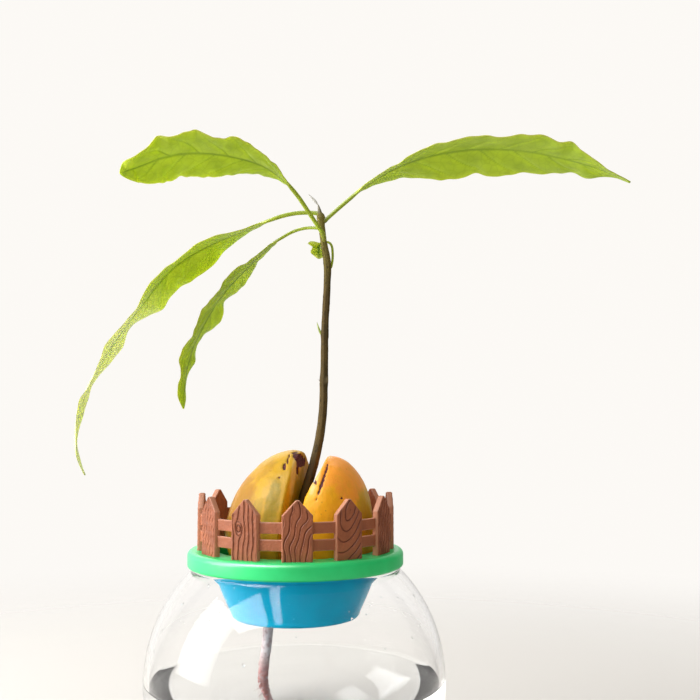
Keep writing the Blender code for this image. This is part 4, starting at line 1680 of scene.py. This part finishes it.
LEAVES = (
    Leaf(
        name="leaf_front_left", springs=(10.9, 0.4, 221.6), root=(9.8, -2.7, 226.5), side=-1, length=93.5,
        blade_from=0.25, slopes=(53, 54, 37, 11, 2, -11, -27, -26), bearings=(-20, -20), half_width=14.0,
        widest=0.58, petiole=0.85, veins=5, sweep=0.20,
        above=(
            (-0.06, 0.0), (0.0, 0.4), (0.05, 1.4), (0.12, 3.2), (0.2, 4.6), (0.3, 6.1), (0.38, 7.2),
            (0.48, 6.0), (0.6, 9.0), (0.71, 6.6), (0.77, 7.5), (0.83, 5.4), (0.92, 4.2), (0.97, 3.2),
            (1.0, 0.8),
        ),
        below=(
            (-0.06, 0.0), (0.0, 0.5), (0.05, 1.4), (0.12, 3.2), (0.25, 6.4), (0.36, 8.2), (0.47, 9.2),
            (0.58, 9.6), (0.63, 9.4), (0.69, 10.0), (0.76, 9.0), (0.83, 7.7), (0.9, 6.0), (0.97, 4.0),
            (1.0, 0.8),
        ),
    ),
    Leaf(
        name="leaf_long_left", springs=(9.6, 0.3, 233.4), root=(8.0, 0.6, 234.6), side=-1, length=166.0,
        blade_from=0.138, slopes=(9, -20, -19, -27, -50, -52, -56, -65, -86, -124), bearings=(12, 12),
        half_width=13.0, widest=0.42, petiole=0.85, veins=10, pale_from=0.42, pale_to=0.62,
        above=(
            (-0.06, 0.0), (0.0, 0.4), (0.06, 1.2), (0.15, 2.7), (0.22, 1.8), (0.3, 2.5), (0.36, 2.4),
            (0.41, 1.4), (0.53, 2.0), (0.67, 0.9), (0.8, 0.5), (0.92, 0.4), (1.0, 0.1),
        ),
        below=(
            (-0.06, 0.0), (0.0, 0.4), (0.05, 1.2), (0.11, 3.4), (0.22, 8.3), (0.29, 9.8), (0.34, 8.7),
            (0.39, 7.2), (0.43, 7.6), (0.47, 5.0), (0.53, 2.6), (0.585, 3.4), (0.67, 2.7), (0.73, 1.6),
            (0.8, 1.5), (0.87, 0.8), (0.94, 0.8), (1.0, 0.1),
        ),
    ),
    Leaf(
        name="leaf_inner_left", springs=(9.9, 0.4, 227.2), root=(8.5, 1.4, 228.6), side=-1, length=111.0,
        blade_from=0.2, slopes=(13, -21, -36, -38, -53, -61, -79, -93), bearings=(35, 25), half_width=9.5,
        widest=0.5, petiole=0.65, veins=8,
        above=(
            (-0.06, 0.0), (0.0, 0.4), (0.08, 1.2), (0.18, 2.4), (0.28, 3.1), (0.4, 3.0), (0.52, 3.2),
            (0.64, 3.2), (0.75, 3.8), (0.83, 2.8), (0.89, 3.2), (0.95, 2.2), (1.0, 0.2),
        ),
        below=(
            (-0.06, 0.0), (0.0, 0.4), (0.08, 1.1), (0.19, 2.2), (0.28, 3.4), (0.36, 4.7), (0.43, 3.0),
            (0.53, 5.3), (0.6, 3.6), (0.69, 1.3), (0.76, 2.0), (0.85, 0.4), (0.92, 1.0), (0.97, 0.8),
            (1.0, 0.1),
        ),
    ),
    Leaf(
        name="leaf_right", springs=(9.9, 0.0, 230.2), root=(12.1, -0.3, 232.2), side=1, length=131.0,
        blade_from=0.138, slopes=(42, 38, 22, 8, -2, -13, -18, -31), bearings=(-8, -8), half_width=15.0,
        widest=0.5, petiole=0.8, veins=7, sweep=0.16,
        above=(
            (-0.06, 0.0), (0.0, 0.4), (0.08, 1.1), (0.2, 2.2), (0.33, 4.0), (0.44, 5.7), (0.53, 4.2),
            (0.6, 6.0), (0.67, 7.6), (0.715, 6.5), (0.76, 7.0), (0.8, 4.6), (0.85, 2.4), (0.9, 1.2),
            (0.95, 0.7), (0.98, 0.5), (1.0, 0.2),
        ),
        below=(
            (-0.06, 0.0), (0.0, 0.6), (0.06, 2.0), (0.14, 4.8), (0.25, 8.8), (0.32, 10.6), (0.39, 11.5),
            (0.44, 10.7), (0.51, 11.8), (0.58, 9.7), (0.64, 8.4), (0.7, 8.5), (0.76, 6.4), (0.81, 4.6),
            (0.85, 4.8), (0.9, 2.6), (0.94, 1.0), (0.98, 0.5), (1.0, 0.2),
        ),
    ),
    Leaf(
        name="young_leaf", springs=(12.4, 0.6, 211.6), root=(14.0, 1.8, 213.4), side=-1, length=20.2,
        blade_from=0.66, slopes=(104, 96, 88, 86, 56, 2, -34, -84, -92, -92),
        bearings=(0, 0, 0, 20, 35, 20, 0, 0, 0, 0), half_width=5.8, widest=0.5, petiole=0.5, veins=3,
        pitch=0.12, wave=0.2, ruffle=0.1, thick=0.16, pale_from=0.86, pale_to=1.1,
        above=(
            (-0.06, 0.0), (0.1, 0.4), (0.18, 1.8), (0.25, 5.2), (0.32, 4.6), (0.4, 3.0), (0.5, 2.8),
            (0.6, 3.1), (0.7, 3.2), (0.8, 2.6), (0.9, 1.7), (1.0, 0.2),
        ),
        below=(
            (-0.06, 0.0), (0.1, 0.3), (0.2, 0.9), (0.3, 1.7), (0.4, 2.1), (0.55, 2.3), (0.7, 2.2),
            (0.8, 1.9), (0.9, 1.2), (1.0, 0.2),
        ),
    ),
)


@dataclass
class Photographer:
    """The camera, the lights and the pale surroundings."""

    stands: Place = (5.36, -384.0, 151.7)
    tilt: float = 4.022
    pan: float = 2.401
    focal_pixels: float = 954.6
    picture_pixels: float = 700
    sensor: float = 36
    white: Colour = (0.975, 0.95, 0.915)
    floor_reach: float = 1500.0
    floor_drop: float = 0.02
    key_at: Place = (-680.0, -130.0, 360.0)
    key_size: Pair = (420.0, 620.0)
    key_power: float = 7.5
    rim_at: Place = (-120.0, 480.0, 560.0)
    rim_size: Pair = (500.0, 500.0)
    rim_power: float = 1.8
    aims_at: Place = (0.0, 0.0, 140.0)
    pane_at: tuple[Place, ...] = ((-620.0, -440.0, 900.0), (-205.0, -440.0, 900.0))
    pane_sizes: tuple[Pair, ...] = ((550.0, 520.0), (100.0, 520.0))
    pane_glow: float = 85.0
    bright_side: Place = (-0.75, 0.35, 0.35)
    ambient: float = 0.76
    contrast: float = 0.45
    gloss_floor: float = 0.10
    gloss_rise: float = 1.5
    dark_way: Place = (0.25, -0.35, 0.90)
    dark_cone: Pair = (0.45, 0.85)
    dark: float = 0.93

    def camera(self) -> None:
        """Sets up the camera at the photograph's viewing angle."""
        data = bpy.data.cameras.new("camera")
        data.sensor_width = self.sensor
        data.lens = self.focal_pixels / self.picture_pixels * self.sensor
        data.clip_start = 0.01
        made = shown("camera", data)
        tilt, pan = radians(self.tilt), radians(self.pan)
        ahead = Vector((sin(pan) * cos(tilt), cos(pan) * cos(tilt), sin(tilt)))
        right = Vector((cos(pan), -sin(pan), 0.0))
        made.matrix_world = Matrix((right, right.cross(ahead), -ahead)).transposed().to_4x4()
        made.location = Vector(self.stands) * MM
        bpy.context.scene.camera = made

    def light(self, name: str, at: Place, size: Pair, power: float) -> bpy.types.Object:
        """Adds a soft box that faces the object.

        Args:
            name: The light's name.
            at: Where it stands.
            size: Its width and height.
            power: Its power in watts.

        Returns:
            The light.
        """
        data = bpy.data.lights.new(name, "AREA")
        data.shape = "RECTANGLE"
        data.size, data.size_y = size[0] * MM, size[1] * MM
        data.energy = power
        made = shown(name, data)
        made.location = Vector(at) * MM
        made.rotation_euler = (Vector(self.aims_at) - Vector(at)).to_track_quat("-Z", "Y").to_euler()
        return made

    def surroundings(self) -> None:
        """Lights the scene from a pale sky, brighter to the left and behind, and shows it as even white.

        Gloss sees a sky with a dark patch above the front, as beside a window, so that glass and skins keep
        their colour.
        """
        sky = Sky("studio")
        toward = sky.toward(Vector(self.bright_side).normalized())
        lit = self.ambient + toward * self.contrast
        cone = sky.toward(Vector(self.dark_way).normalized()).step(*self.dark_cone)
        shone = (self.gloss_floor + toward.step(-0.35, 1.0) * self.gloss_rise) * (1 - self.dark * cone)
        ray = sky.node("ShaderNodeLightPath").outputs
        seen, through, diffuse, glossy = (
            Signal(sky, ray[name]).held()
            for name in ("Is Camera Ray", "Transmission Depth", "Diffuse Depth", "Glossy Depth")
        )
        plain = seen.math("MAXIMUM", through * (1 - diffuse))
        strength = (lit + (shone - lit) * glossy * (1 - diffuse)) * (1 - plain) + plain
        sky.feed(sky.background.inputs["Strength"], strength)
        sky.feed(sky.background.inputs["Color"], self.white)

    def floor(self) -> None:
        """Lays the pale floor, which fades out into the surroundings."""
        rings = [(out, -self.floor_drop) for out in (0.0, 200.0, 500.0, 900.0, self.floor_reach)]
        made = Form.turned(rings, 96).piece("floor")
        fade = Studio("pale_floor", (0.57, 0.55, 0.52), 150.0, 650.0)
        made.data.materials.append(fade.material())

    def set_up(self) -> None:
        """Readies the camera, the lights and the floor."""
        self.camera()
        self.surroundings()
        self.floor()
        self.light("key", self.key_at, self.key_size, self.key_power)
        self.light("rim", self.rim_at, self.rim_size, self.rim_power)
        for i, (at, size) in enumerate(zip(self.pane_at, self.pane_sizes)):
            power = self.pane_glow * size[0] * size[1] * MM * MM
            pane = self.light(f"pane_{i + 1}", at, size, power)
            pane.visible_diffuse = pane.visible_transmission = False
            pane.rotation_euler = (0.0, 0.0, 0.0)
        bpy.context.scene.view_settings.view_transform = "Standard"


def main() -> None:
    """Builds and dresses the whole object."""
    logging.basicConfig(level=logging.INFO, format="%(message)s")
    Photographer().set_up()
    GlassBowl().dress()
    Holder().dress()
    Fence().dress()
    for half in SEED_HALVES:
        half.dress()
    Axis().dress()
    blade = Blade().material()
    for leaf in LEAVES:
        leaf.dress(blade)


if __name__ == "__main__":
    main()
